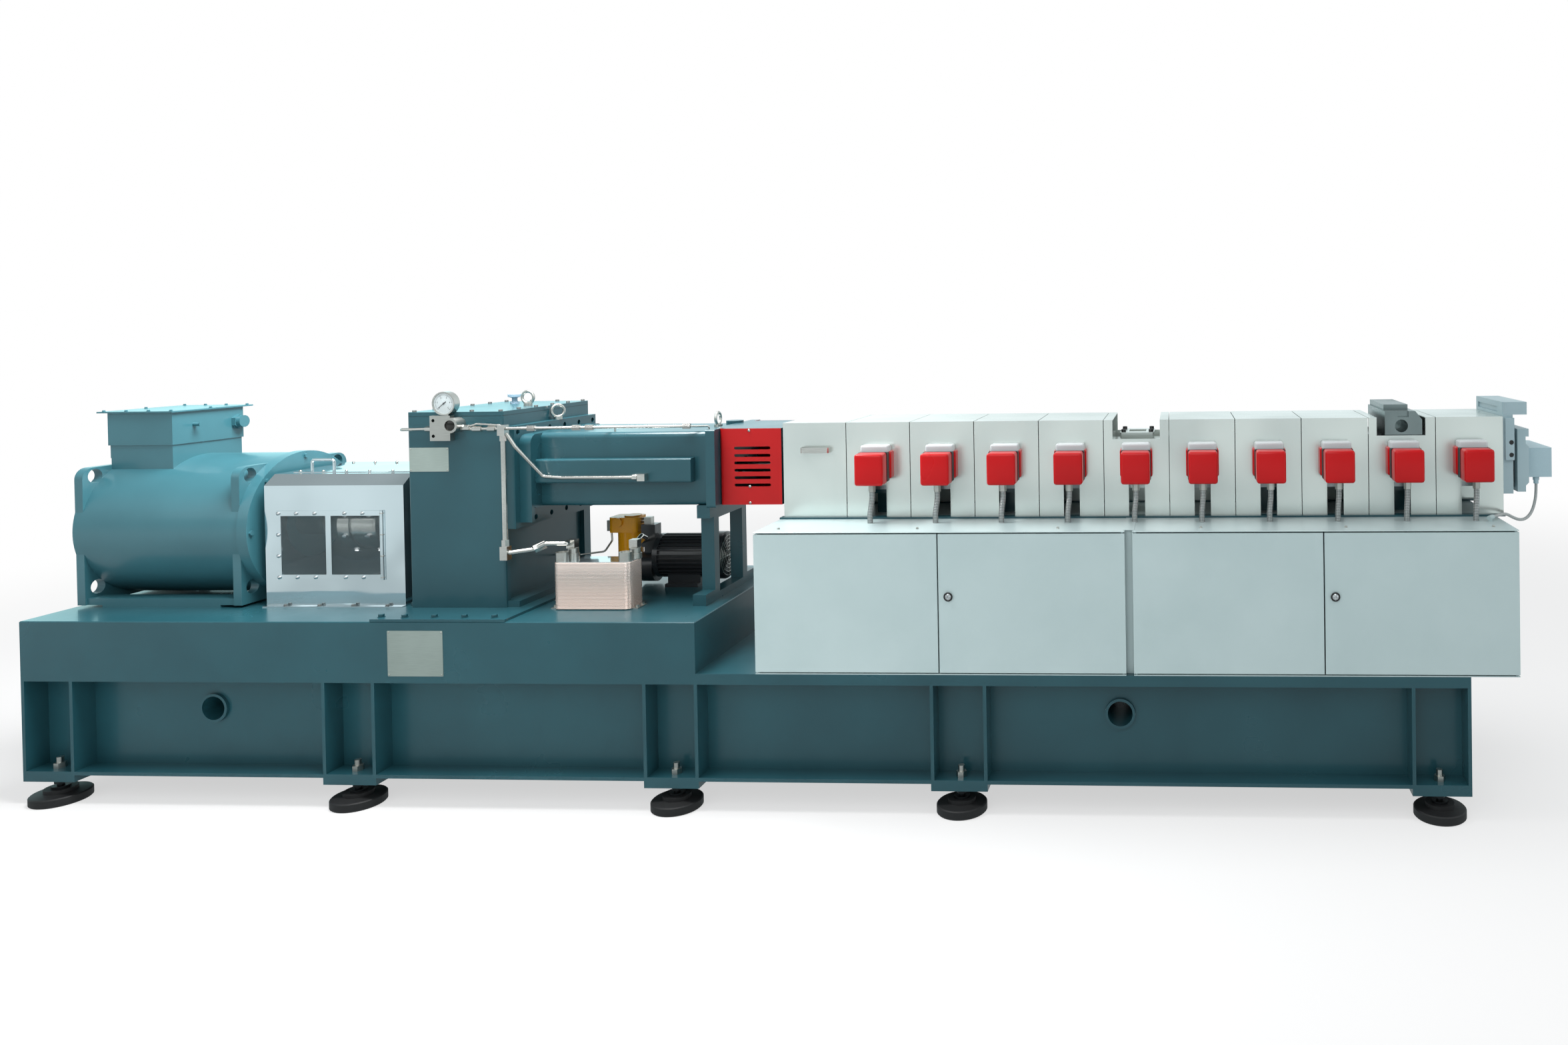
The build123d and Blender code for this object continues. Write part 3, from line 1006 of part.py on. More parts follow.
# Plate heat exchanger: a stack of dished plates with rounded corners, four ports and a base with tabs
exchanger_x = exchanger_left + EXCHANGER_LENGTH / 2
exchanger_y = EXCHANGER_FRONT_Y + EXCHANGER_DEPTH / 2
stack_bottom = PLINTH_Z + EXCHANGER_BASE
plate_pitch = (EXCHANGER_TOP_Z - stack_bottom) / EXCHANGER_PLATES
with BuildPart() as exchanger_plates:
    with BuildSketch(Plane.XY.offset(stack_bottom)):
        with Locations((exchanger_x, exchanger_y)):
            RectangleRounded(EXCHANGER_LENGTH - 2 * EXCHANGER_RIM, EXCHANGER_DEPTH - 2 * EXCHANGER_RIM,
                             EXCHANGER_CORNER - EXCHANGER_RIM)
    extrude(amount=EXCHANGER_TOP_Z - stack_bottom)
    with BuildSketch(*[Plane.XY.offset(stack_bottom + plate_pitch * k) for k in range(EXCHANGER_PLATES)]):
        with Locations((exchanger_x, exchanger_y)):
            RectangleRounded(EXCHANGER_LENGTH, EXCHANGER_DEPTH, EXCHANGER_CORNER)
    extrude(amount=plate_pitch / 2)
save(exchanger_plates, "exchanger_plates")

cap_left_x = exchanger_left + CAP_LEFT_DX
cap_y = EXCHANGER_FRONT_Y + CAP_DY
with BuildPart() as exchanger_ports:
    for x in (cap_left_x, cap_left_x + PORT_SPAN):
        rod_z(x, cap_y, EXCHANGER_TOP_Z, EXCHANGER_TOP_Z + CAP_HEIGHT, PORT_RADIUS)
        rod_z(x, cap_y, EXCHANGER_TOP_Z + CAP_HEIGHT - 5, EXCHANGER_TOP_Z + CAP_HEIGHT, PORT_RADIUS - 7,
              mode=Mode.SUBTRACT)
    for x in (stub_left_x, stub_right_x):
        rod_z(x, stub_y, EXCHANGER_TOP_Z, EXCHANGER_TOP_Z + STUB_HEIGHT / 2, PORT_RADIUS + 1)
        rod_z(x, stub_y, EXCHANGER_TOP_Z + STUB_HEIGHT / 2, stub_top, PORT_RADIUS - 3)
    block(exchanger_left - EXCHANGER_TAB, exchanger_left + EXCHANGER_LENGTH + EXCHANGER_TAB,
          EXCHANGER_FRONT_Y + EXCHANGER_TAB, EXCHANGER_FRONT_Y + EXCHANGER_DEPTH - EXCHANGER_TAB,
          PLINTH_Z, stack_bottom)
    for x in (exchanger_left - EXCHANGER_TAB / 2, exchanger_left + EXCHANGER_LENGTH + EXCHANGER_TAB / 2):
        for y in (exchanger_y - EXCHANGER_TAB, exchanger_y + EXCHANGER_TAB):
            hex_bar((x, y, stack_bottom), (0, 0, 1), BOLT_HEAD_HEIGHT, BOLT_HEAD_RADIUS * 0.8)
save(exchanger_ports, "exchanger_ports")

# Pump set: finned motor with its fan cover, gear pump with a valve block, and the oil filter
pump_motor_right = pump_motor_left + PUMP_MOTOR_LENGTH
foot_right = pump_motor_right - PUMP_FOOT_INSET
fin_root = PUMP_MOTOR_RADIUS - FIN_DEPTH
with BuildPart() as pump_motor:
    with BuildSketch(Plane.YZ.offset(pump_motor_left)):
        with Locations((PUMP_Y, PUMP_MOTOR_Z)):
            Circle(fin_root)
            with PolarLocations(fin_root + FIN_DEPTH / 2 - 1, PUMP_FINS):
                Rectangle(FIN_DEPTH + 2, FIN_THICK)
    extrude(amount=PUMP_MOTOR_LENGTH)
    rod_x(pump_motor_left, pump_motor_left + PUMP_SHIELD, PUMP_Y, PUMP_MOTOR_Z, PUMP_MOTOR_RADIUS)
    rod_x(pump_motor_right - PUMP_SHIELD, pump_motor_right, PUMP_Y, PUMP_MOTOR_Z, PUMP_MOTOR_RADIUS)
    block(pump_motor_left + PUMP_FOOT_INSET, foot_right, PUMP_Y - PUMP_FOOT_WIDTH / 2, PUMP_Y + PUMP_FOOT_WIDTH / 2,
          PLINTH_Z, PLINTH_Z + PUMP_FOOT_THICK)
    block(pump_motor_left + PUMP_FOOT_INSET, foot_right, PUMP_Y - PUMP_LEG_WIDTH / 2, PUMP_Y + PUMP_LEG_WIDTH / 2,
          PLINTH_Z, PUMP_MOTOR_Z - fin_root / 2)
save(pump_motor, "pump_motor")

with BuildPart() as pump_fan_cover:
    rod_x(pump_motor_right, pump_motor_right + FAN_COVER_LENGTH, PUMP_Y, PUMP_MOTOR_Z, FAN_COVER_RADIUS)
    fillet(edges().group_by(Axis.X)[-1], FAN_COVER_EDGE)
save(pump_fan_cover, "pump_fan_cover")

with BuildPart() as oil_pump:
    rod_x(pump_left, pump_right, PUMP_Y, PUMP_Z, PUMP_RADIUS)
    rod_x(pump_right, pump_motor_left, PUMP_Y, PUMP_MOTOR_Z - PUMP_BELL, PUMP_RADIUS - 5)
    block(pump_left + 8, pump_right - 8, PUMP_Y - VALVE_DEPTH / 3, PUMP_Y + VALVE_DEPTH / 3, PUMP_Z, VALVE_BOTTOM_Z)
    block(pump_left, pump_right, PUMP_Y - VALVE_DEPTH / 2, PUMP_Y + VALVE_DEPTH / 2, VALVE_BOTTOM_Z, VALVE_TOP_Z)
save(oil_pump, "oil_pump")

filter_x = pump_motor_left - FILTER_DX
head_left = filter_x - FILTER_HEAD_LENGTH * 0.6
head_right = head_left + FILTER_HEAD_LENGTH
with BuildPart() as oil_filter:
    rod_z(filter_x, PUMP_Y, FILTER_BOWL_BOTTOM_Z, FILTER_HEAD_BOTTOM_Z, FILTER_BOWL_RADIUS)
    fillet(edges().group_by(Axis.Z)[0], FILTER_BOWL_RADIUS / 3)
    with BuildSketch(Plane.XY.offset(FILTER_HEAD_BOTTOM_Z)):
        with Locations(((head_left + head_right) / 2, PUMP_Y)):
            RectangleRounded(FILTER_HEAD_LENGTH, FILTER_HEAD_DEPTH, 18)
    extrude(amount=FILTER_HEAD_TOP_Z - FILTER_HEAD_BOTTOM_Z)
    rod_z(head_right - 38, PUMP_Y, FILTER_HEAD_TOP_Z, FILTER_HEAD_TOP_Z + 5, 36)
    rod_y(head_left + 46, PUMP_Y - FILTER_HEAD_DEPTH / 2 - 10, PUMP_Y, FILTER_PORT_Z, 20)
save(oil_filter, "oil_filter")

with BuildPart() as filter_fittings:
    block(head_left - 25, head_left, PUMP_Y - 14, PUMP_Y + 14, FILTER_HEAD_BOTTOM_Z + 1, FILTER_PORT_Z + 2)
    rod_x(head_right, pump_left + 10, PUMP_Y, FILTER_PORT_Z, 12)
    block(pump_left + 8, pump_left + 38, PUMP_Y - 15, PUMP_Y + 15, VALVE_TOP_Z, FILTER_PORT_Z + 15)
    bent_tube([(head_left - 12, PUMP_Y, FILTER_HEAD_BOTTOM_Z + 1),
               (head_left - 6, PUMP_Y - 6, FILTER_HEAD_BOTTOM_Z - FILTER_LINE_DROP / 2),
               (head_left - 22, PUMP_Y - 40, FILTER_HEAD_BOTTOM_Z - FILTER_LINE_DROP),
               (plate_right + 60, PUMP_Y - 90, FILTER_HEAD_BOTTOM_Z - FILTER_LINE_DROP - 3),
               (gearbox_right - PANEL_DEPTH, PUMP_Y - 90, FILTER_HEAD_BOTTOM_Z - FILTER_LINE_DROP - 3)],
              THIN_TUBE_RADIUS, 18)
save(filter_fittings, "filter_fittings")

# Barrels: two runs of bolted barrels on either side of the feed barrel, with a figure-of-eight bore
barrel_bottom = BARREL_Z - BARREL_BODY / 2
barrel_top = BARREL_Z + BARREL_BODY / 2
feed_left = COVER_LEFT + FEED_COVER * BARREL_PITCH
feed_x = feed_left + BARREL_PITCH / 2
vent_x = COVER_LEFT + (VENT_COVER + 0.5) * BARREL_PITCH


def barrel_run(first, last):
    """Solid barrels between two joints of the train, with a bolting flange at each joint."""
    left = COVER_LEFT + first * BARREL_PITCH
    right = COVER_LEFT + last * BARREL_PITCH
    block(left, right, -BARREL_BODY / 2, BARREL_BODY / 2, barrel_bottom, barrel_top)
    for joint in range(first, last + 1):
        x = COVER_LEFT + joint * BARREL_PITCH
        block(max(x - BARREL_FLANGE_THICK, left), min(x + BARREL_FLANGE_THICK, right), -BARREL_FLANGE / 2,
              BARREL_FLANGE / 2, BARREL_Z - BARREL_FLANGE / 2, BARREL_Z + BARREL_FLANGE / 2)


def barrel_bore(left, right):
    """The two overlapping screw bores."""
    for y in (-SCREW_OFFSET, SCREW_OFFSET):
        rod_x(left, right, y, BARREL_Z, BORE_RADIUS, mode=Mode.SUBTRACT)


with BuildPart() as barrels:
    barrel_run(0, FEED_COVER)
    barrel_run(FEED_COVER + 1, BARREL_COUNT)
    block(vent_x - VENT_NECK_LENGTH / 2, vent_x + VENT_NECK_LENGTH / 2, -VENT_NECK_DEPTH / 2, VENT_NECK_DEPTH / 2,
          barrel_top, VENT_BLOCK_BOTTOM_Z)
    barrel_bore(COVER_LEFT, COVER_RIGHT)
save(barrels, "barrels")

with BuildPart() as feed_barrel:
    barrel_run(FEED_COVER, FEED_COVER + 1)
    block(feed_x - FEED_PLATE_LENGTH / 2 + 4, feed_x + FEED_PLATE_LENGTH / 2 - 4, -FEED_PLATE_DEPTH / 2,
          FEED_PLATE_DEPTH / 2, barrel_top, FEED_PLATE_BOTTOM_Z)
    barrel_bore(feed_left, feed_left + BARREL_PITCH)
    block(feed_x - THROAT_LENGTH / 2, feed_x + THROAT_LENGTH / 2, -THROAT_WIDTH / 2, THROAT_WIDTH / 2, BARREL_Z,
          FEED_PLATE_BOTTOM_Z, mode=Mode.SUBTRACT)
save(feed_barrel, "feed_barrel")

with BuildPart() as feed_flange:
    with BuildSketch(Plane.XY.offset(FEED_PLATE_BOTTOM_Z)):
        with Locations((feed_x, 0)):
            RectangleRounded(FEED_PLATE_LENGTH, FEED_PLATE_DEPTH, 6)
            Rectangle(THROAT_LENGTH, THROAT_WIDTH, mode=Mode.SUBTRACT)
            with GridLocations(FEED_BOLT_SPACING_X, FEED_BOLT_SPACING_Y, 2, 2):
                Circle(FEED_BOLT_RADIUS, mode=Mode.SUBTRACT)
    extrude(amount=FEED_PLATE_THICK)
save(feed_flange, "feed_flange")

vent_left = vent_x + VENT_BLOCK_DX - VENT_BLOCK_LENGTH / 2
vent_right = vent_left + VENT_BLOCK_LENGTH
vent_front = -VENT_BLOCK_DEPTH / 2
with BuildPart() as vent_port:
    with BuildSketch(Plane.XZ.offset(vent_front)):
        Polygon((vent_left, VENT_BLOCK_BOTTOM_Z), (vent_right, VENT_BLOCK_BOTTOM_Z),
                (vent_right, VENT_BLOCK_TOP_Z - VENT_CUT_DROP), (vent_right - VENT_CUT, VENT_BLOCK_TOP_Z),
                (vent_left, VENT_BLOCK_TOP_Z), align=None)
    extrude(amount=VENT_BLOCK_DEPTH)
    block(vent_left + 8, vent_left + 8 + VENT_RAISED_LENGTH, vent_front + VENT_RAISED_SETBACK, -vent_front,
          VENT_BLOCK_TOP_Z, VENT_RAISED_TOP_Z)
    block(vent_x - 15, vent_x + 28, vent_front, vent_front + 12, VENT_BORE_Z + 35, VENT_BLOCK_TOP_Z, mode=Mode.SUBTRACT)
    rod_y(vent_x, vent_front, vent_front + VENT_BORE_DEPTH, VENT_BORE_Z, VENT_BORE_RADIUS, mode=Mode.SUBTRACT)
save(vent_port, "vent_port")

post_stations = [COVER_LEFT + BARREL_PITCH * k for k in (1.5, 3.5, 7.5, 9.5)]
cabinet_floor = DECK_Z + CABINET_SHEET
with BuildPart() as barrel_posts:
    for x in post_stations:
        block(x - POST_SIZE / 2, x + POST_SIZE / 2, -POST_SIZE / 2, POST_SIZE / 2, cabinet_floor,
              barrel_bottom - POST_CAP)
        block(x - POST_SIZE / 2, x + POST_SIZE / 2, -BARREL_BODY / 2, BARREL_BODY / 2, barrel_bottom - POST_CAP,
              barrel_bottom)
save(barrel_posts, "barrel_posts")

# Barrel covers: folded hoods on two rails, slotted under each heater box, two notched for the ports
cover_bottom = CABINET_TOP_Z + RAIL_HEIGHT
cover_half = COVER_DEPTH / 2
with BuildPart() as cover_rails:
    block(COVER_LEFT - RAIL_LEFT, COVER_RIGHT, -cover_half - RAIL_PROUD, -cover_half - RAIL_PROUD + RAIL_WIDTH,
          CABINET_TOP_Z, cover_bottom)
    mirror(about=Plane.XZ)
save(cover_rails, "cover_rails")


def cover_hood(index, slotted):
    """One hood over one barrel, open below and at both ends."""
    left = COVER_LEFT + index * BARREL_PITCH + COVER_GAP / 2
    right = left + BARREL_PITCH - COVER_GAP
    inner = cover_half - COVER_SHEET
    middle = (left + right) / 2
    block(left, right, -cover_half, cover_half, cover_bottom, COVER_TOP_Z)
    block(left, right, -inner, inner, cover_bottom, COVER_TOP_Z - COVER_SHEET, mode=Mode.SUBTRACT)
    if slotted:
        block(middle - SLOT_WIDTH / 2, middle + SLOT_WIDTH / 2, -cover_half, -inner, cover_bottom,
              cover_bottom + SLOT_HEIGHT, mode=Mode.SUBTRACT)


def port_notch(x, level):
    """A notch across the top of a hood for a port."""
    block(x - NOTCH_WIDTH / 2, x + NOTCH_WIDTH / 2, -cover_half, cover_half, level, COVER_TOP_Z, mode=Mode.SUBTRACT)


with BuildPart() as barrel_covers:
    for index in range(BARREL_COUNT):
        if index not in (FEED_COVER, VENT_COVER):
            cover_hood(index, index > 0)
save(barrel_covers, "barrel_covers")

with BuildPart() as feed_cover:
    cover_hood(FEED_COVER, True)
    port_notch(feed_x, FEED_NOTCH_Z)
save(feed_cover, "feed_cover")

with BuildPart() as vent_cover:
    cover_hood(VENT_COVER, True)
    port_notch(vent_x - 3, VENT_NOTCH_Z)
save(vent_cover, "vent_cover")

strap_x = COVER_LEFT + STRAP_X + STRAP_LENGTH / 2
with BuildPart() as cover_handle:
    with BuildSketch(Plane.XY.offset(STRAP_Z - STRAP_WIDTH / 2)):
        with Locations((strap_x, -cover_half)):
            RectangleRounded(STRAP_LENGTH, 2 * STRAP_REACH, BRACKET_CORNER)
            RectangleRounded(STRAP_LENGTH - 2 * STRAP_THICK, 2 * (STRAP_REACH - STRAP_THICK),
                             BRACKET_CORNER - STRAP_THICK, mode=Mode.SUBTRACT)
        with Locations((strap_x, -cover_half + STRAP_REACH)):
            Rectangle(STRAP_LENGTH, 2 * STRAP_REACH, mode=Mode.SUBTRACT)
    extrude(amount=STRAP_WIDTH)
save(cover_handle, "cover_handle")

# Heater terminal boxes: red cap, dark plate, red rear housing, bracket ring and a conduit down
heater_stations = [COVER_LEFT + (index + 0.5) * BARREL_PITCH for index in range(1, BARREL_COUNT)]
rear_front = -cover_half - HEATER_REAR_DEPTH
heater_plate_front = rear_front - HEATER_PLATE_DEPTH
plate_top = HEATER_PLATE_BOTTOM_Z + HEATER_PLATE_HEIGHT
with BuildPart() as heater_boxes:
    with BuildSketch(Plane.XY.offset(HEATER_CAP_BOTTOM_Z)):
        with Locations(*[(x, heater_plate_front - HEATER_CAP_DEPTH / 2) for x in heater_stations]):
            RectangleRounded(HEATER_WIDTH, HEATER_CAP_DEPTH, HEATER_CORNER)
    extrude(amount=HEATER_CAP_HEIGHT)
    chamfer(edges().group_by(Axis.Z)[-1], HEATER_CHAMFER / 2)
    for x in heater_stations:
        rear_x = x + HEATER_REAR_SHIFT
        block(rear_x - HEATER_PLATE_WIDTH / 2, rear_x + HEATER_PLATE_WIDTH / 2, rear_front, -cover_half,
              HEATER_PLATE_BOTTOM_Z + HEATER_REAR_LIFT, plate_top)
save(heater_boxes, "heater_boxes")

with BuildPart() as heater_plates:
    for x in heater_stations:
        block(x - HEATER_PLATE_WIDTH / 2, x + HEATER_PLATE_WIDTH / 2, heater_plate_front, rear_front,
              HEATER_PLATE_BOTTOM_Z, plate_top)
save(heater_plates, "heater_plates")

with BuildPart() as heater_brackets:
    with BuildSketch(Plane.XY.offset(plate_top)):
        with Locations(*[(x, -cover_half - FIT - BRACKET_DEPTH / 2) for x in heater_stations]):
            RectangleRounded(BRACKET_LENGTH, BRACKET_DEPTH, BRACKET_CORNER)
            RectangleRounded(BRACKET_LENGTH - 2 * BRACKET_SHEET, BRACKET_DEPTH - 2 * BRACKET_SHEET,
                             BRACKET_CORNER - BRACKET_SHEET, mode=Mode.SUBTRACT)
    extrude(amount=BRACKET_HEIGHT)
save(heater_brackets, "heater_brackets")

conduit_y = heater_plate_front - HEATER_CAP_DEPTH / 2
gland_bottom = HEATER_CAP_BOTTOM_Z - CONDUIT_GLAND_HEIGHT
with BuildPart() as heater_conduits:
    for x in heater_stations:
        hex_bar((x, conduit_y, HEATER_CAP_BOTTOM_Z), (0, 0, -1), CONDUIT_GLAND_HEIGHT, CONDUIT_GLAND_RADIUS)
        bent_tube([(x, conduit_y, gland_bottom + 1), (x, conduit_y, gland_bottom - 28),
                   (x + CONDUIT_SHIFT_X, conduit_y + CONDUIT_SHIFT_Y, CABINET_TOP_Z + 36),
                   (x + CONDUIT_SHIFT_X, conduit_y + CONDUIT_SHIFT_Y, CABINET_TOP_Z)], CONDUIT_RADIUS, 60)
save(heater_conduits, "heater_conduits")

# Cable from the junction box down and back up to the cabinet top
gland_x = COVER_RIGHT + ADAPTER_THICK + DIE_BODY_THICK + DIE_PLATE_THICK + JUNCTION_GLAND_DX
gland_y = JUNCTION_FRONT_Y + JUNCTION_GLAND_INSET
gland_z = JUNCTION_BOTTOM_Z - JUNCTION_GLAND_LENGTH
heading = math.radians(CABLE_HEADING)
cable_points = [(gland_x + s * math.cos(heading), gland_y + s * math.sin(heading), gland_z + z)
                for s, z in CABLE_SHAPE]
cable_radii = []
for before, here, after in zip(cable_points, cable_points[1:], cable_points[2:]):
    run_in = Vector(*here) - Vector(*before)
    run_out = Vector(*after) - Vector(*here)
    half_turn = math.radians(run_in.get_angle(run_out)) / 2
    cable_radii.append(0.45 * min(run_in.length, run_out.length) / math.tan(half_turn))
print("cable radii", [round(radius, 1) for radius in cable_radii])
with BuildPart() as die_cable:
    bent_tube(cable_points, CABLE_RADIUS, cable_radii)
save(die_cable, "die_cable")

# Cabinets: sheet boxes across the deck, each with two front doors on corner pivots
pivot_y = FRONT_Y + DOOR_DEPTH / 2
shell_front = FRONT_Y + DOOR_DEPTH + DOOR_FRAME_GAP
cabinet_lefts = [CABINET_LEFT, CABINET_LEFT + CABINET_LENGTH + CABINET_GAP]
cabinet_spans = [(left, left + CABINET_LENGTH) for left in cabinet_lefts]
cable_end = Vector(*cable_points[-1])
cable_dir = (cable_end - Vector(*cable_points[-2])).normalized()


def cabinet_shell(left, right):
    """Floor, top, sides and back of one cabinet, with the four door pivots."""
    block(left, right, FRONT_Y, BACK_Y, DECK_Z, CABINET_TOP_Z)
    fillet(edges().filter_by(Axis.X).group_by(Axis.Z)[-1].group_by(Axis.Y)[0], CABINET_EDGE)
    block(left + CABINET_SHEET, right - CABINET_SHEET, FRONT_Y, BACK_Y - CABINET_SHEET, cabinet_floor,
          CABINET_TOP_Z - CABINET_SHEET, mode=Mode.SUBTRACT)
    for x0 in (left, right - CABINET_SHEET):
        block(x0, x0 + CABINET_SHEET, FRONT_Y, shell_front, cabinet_floor, CABINET_TOP_Z - CABINET_SHEET,
              mode=Mode.SUBTRACT)
    for x in (left + DOOR_PIVOT_INSET, right - DOOR_PIVOT_INSET):
        rod_z(x, pivot_y, cabinet_floor, cabinet_floor + DOOR_PIVOT_LENGTH, DOOR_PIVOT_RADIUS)
        rod_z(x, pivot_y, CABINET_TOP_Z - CABINET_SHEET - DOOR_PIVOT_LENGTH, CABINET_TOP_Z - CABINET_SHEET,
              DOOR_PIVOT_RADIUS)
    for x in post_stations:
        if left < x < right:
            hole = POST_SIZE / 2 + POST_CLEAR
            block(x - hole, x + hole, -hole, hole, CABINET_TOP_Z - CABINET_SHEET, CABINET_TOP_Z, mode=Mode.SUBTRACT)


with BuildPart() as cabinet_left:
    cabinet_shell(*cabinet_spans[0])
    block(cabinet_spans[0][1], cabinet_spans[1][0], FRONT_Y + FILLER_SETBACK, FRONT_Y + FILLER_SETBACK + FILLER_SHEET,
          DECK_Z, CABINET_TOP_Z - CABINET_SHEET)
save(cabinet_left, "cabinet_left")

with BuildPart() as cabinet_right:
    cabinet_shell(*cabinet_spans[1])
    with BuildSketch(Plane(origin=cable_end, z_dir=cable_dir)) as gland_section:
        Circle(CABLE_GLAND_RADIUS)
    extrude(gland_section.sketch, amount=CABLE_GLAND_LENGTH)
    gland_foot = cable_end + cable_dir * (CABLE_GLAND_LENGTH - CABLE_GLAND_RADIUS)
    rod_z(gland_foot.X, gland_foot.Y, CABINET_TOP_Z, gland_foot.Z, CABLE_GLAND_RADIUS - 1)
save(cabinet_right, "cabinet_right")

door_bottom = cabinet_floor + DOOR_CLEAR
door_top = CABINET_TOP_Z - CABINET_SHEET - DOOR_CLEAR


def door_leaf(left, right, pivot_x):
    """A sheet pan with folded edges and a pivot hole near one edge."""
    block(left, right, FRONT_Y, FRONT_Y + DOOR_DEPTH, door_bottom, door_top)
    block(left + DOOR_SHEET, right - DOOR_SHEET, FRONT_Y + DOOR_SHEET, FRONT_Y + DOOR_DEPTH,
          door_bottom + DOOR_SHEET, door_top - DOOR_SHEET, mode=Mode.SUBTRACT)
    rod_z(pivot_x, pivot_y, door_bottom, door_top, DOOR_PIVOT_RADIUS + FIT, mode=Mode.SUBTRACT)


def door_lock(left):
    """The lock's round face in front of the sheet and its body behind it."""
    rod_y(left + LOCK_INSET, FRONT_Y - LOCK_PROUD, FRONT_Y, LOCK_Z, LOCK_RADIUS)
    rod_y(left + LOCK_INSET, FRONT_Y, FRONT_Y + DOOR_DEPTH, LOCK_Z, LOCK_BODY_RADIUS)


door_spans = []
for left, right in cabinet_spans:
    split = (left + right) / 2
    door_spans.append((left, split - DOOR_CLEAR / 2, left + DOOR_PIVOT_INSET))
    door_spans.append((split + DOOR_CLEAR / 2, right, right - DOOR_PIVOT_INSET))

with BuildPart() as door_1:
    door_leaf(*door_spans[0])
save(door_1, "door_1")

with BuildPart() as door_2:
    door_leaf(*door_spans[1])
    door_lock(door_spans[1][0])
save(door_2, "door_2")

with BuildPart() as door_3:
    door_leaf(*door_spans[2])
save(door_3, "door_3")

with BuildPart() as door_4:
    door_leaf(*door_spans[3])
    door_lock(door_spans[3][0])
save(door_4, "door_4")

# Die end: adapter with its head block, die body, die plate and the junction box
adapter_right = COVER_RIGHT + ADAPTER_THICK
adapter_half = ADAPTER_DEPTH / 2
with BuildPart() as die_adapter:
    block(COVER_RIGHT, adapter_right, -adapter_half, adapter_half, ADAPTER_BOTTOM_Z, ADAPTER_TOP_Z)
    with BuildSketch(Plane.XY.offset(ADAPTER_TOP_Z)):
        with Locations((COVER_RIGHT + HEAD_BLOCK_LENGTH / 2, 0)):
            Rectangle(HEAD_BLOCK_LENGTH, ADAPTER_DEPTH)
        fillet(vertices().group_by(Axis.Y)[0].sort_by(Axis.X)[0], HEAD_BLOCK_CORNER)
    extrude(amount=HEAD_BLOCK_TOP_Z - ADAPTER_TOP_Z)
    block(COVER_RIGHT, COVER_RIGHT + POCKET_DEPTH, POCKET_FRONT_Y, POCKET_BACK_Y, POCKET_BOTTOM_Z, POCKET_TOP_Z,
          mode=Mode.SUBTRACT)
    block(COVER_RIGHT + PAD_INSET, COVER_RIGHT + PAD_INSET + PAD_LENGTH, -adapter_half - PAD_THICK, -adapter_half,
          PAD_BOTTOM_Z, PAD_TOP_Z)
    for z in (PAD_HOLE_Z - PAD_HOLE_SPACING / 2, PAD_HOLE_Z + PAD_HOLE_SPACING / 2):
        rod_y(adapter_right - PAD_HOLE_RADIUS, -adapter_half - PAD_THICK, -adapter_half, z, PAD_HOLE_RADIUS,
              mode=Mode.SUBTRACT)
save(die_adapter, "die_adapter")

body_right = adapter_right + DIE_BODY_THICK
with BuildPart() as die_body:
    block(adapter_right, body_right, -DIE_BODY_DEPTH / 2, DIE_BODY_DEPTH / 2, DIE_BODY_BOTTOM_Z, DIE_BODY_TOP_Z)
save(die_body, "die_body")

die_plate_right = body_right + DIE_PLATE_THICK
waist = die_plate_right - DIE_PLATE_LUG
with BuildPart() as die_plate:
    with BuildSketch(Plane.XZ.offset(-DIE_PLATE_DEPTH / 2)):
        Polygon((body_right, DIE_PLATE_BOTTOM_Z), (waist, DIE_PLATE_BOTTOM_Z),
                (waist, JUNCTION_BOTTOM_Z - 2 * DIE_PLATE_LUG), (die_plate_right, JUNCTION_BOTTOM_Z - DIE_PLATE_LUG),
                (die_plate_right, JUNCTION_TOP_Z + DIE_PLATE_LUG), (waist, JUNCTION_TOP_Z + 2 * DIE_PLATE_LUG),
                (waist, DIE_PLATE_TOP_Z - DIE_PLATE_LUG_HEIGHT),
                (die_plate_right, DIE_PLATE_TOP_Z - DIE_PLATE_LUG_HEIGHT),
                (die_plate_right, DIE_PLATE_TOP_Z), (body_right, DIE_PLATE_TOP_Z), align=None)
    extrude(amount=DIE_PLATE_DEPTH)
save(die_plate, "die_plate")

with BuildPart() as junction_box:
    block(die_plate_right, DIE_END_X, JUNCTION_FRONT_Y, JUNCTION_BACK_Y, JUNCTION_BOTTOM_Z, JUNCTION_TOP_Z)
    fillet(edges().filter_by(Axis.Z), JUNCTION_CORNER)
    hex_bar((gland_x, gland_y, JUNCTION_BOTTOM_Z), (0, 0, -1), JUNCTION_GLAND_LENGTH / 2, JUNCTION_GLAND_RADIUS)
    rod_z(gland_x, gland_y, gland_z, JUNCTION_BOTTOM_Z, JUNCTION_GLAND_RADIUS * 0.75)
save(junction_box, "junction_box")
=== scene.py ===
import math

import bmesh
import bpy
from mathutils import Matrix, Vector


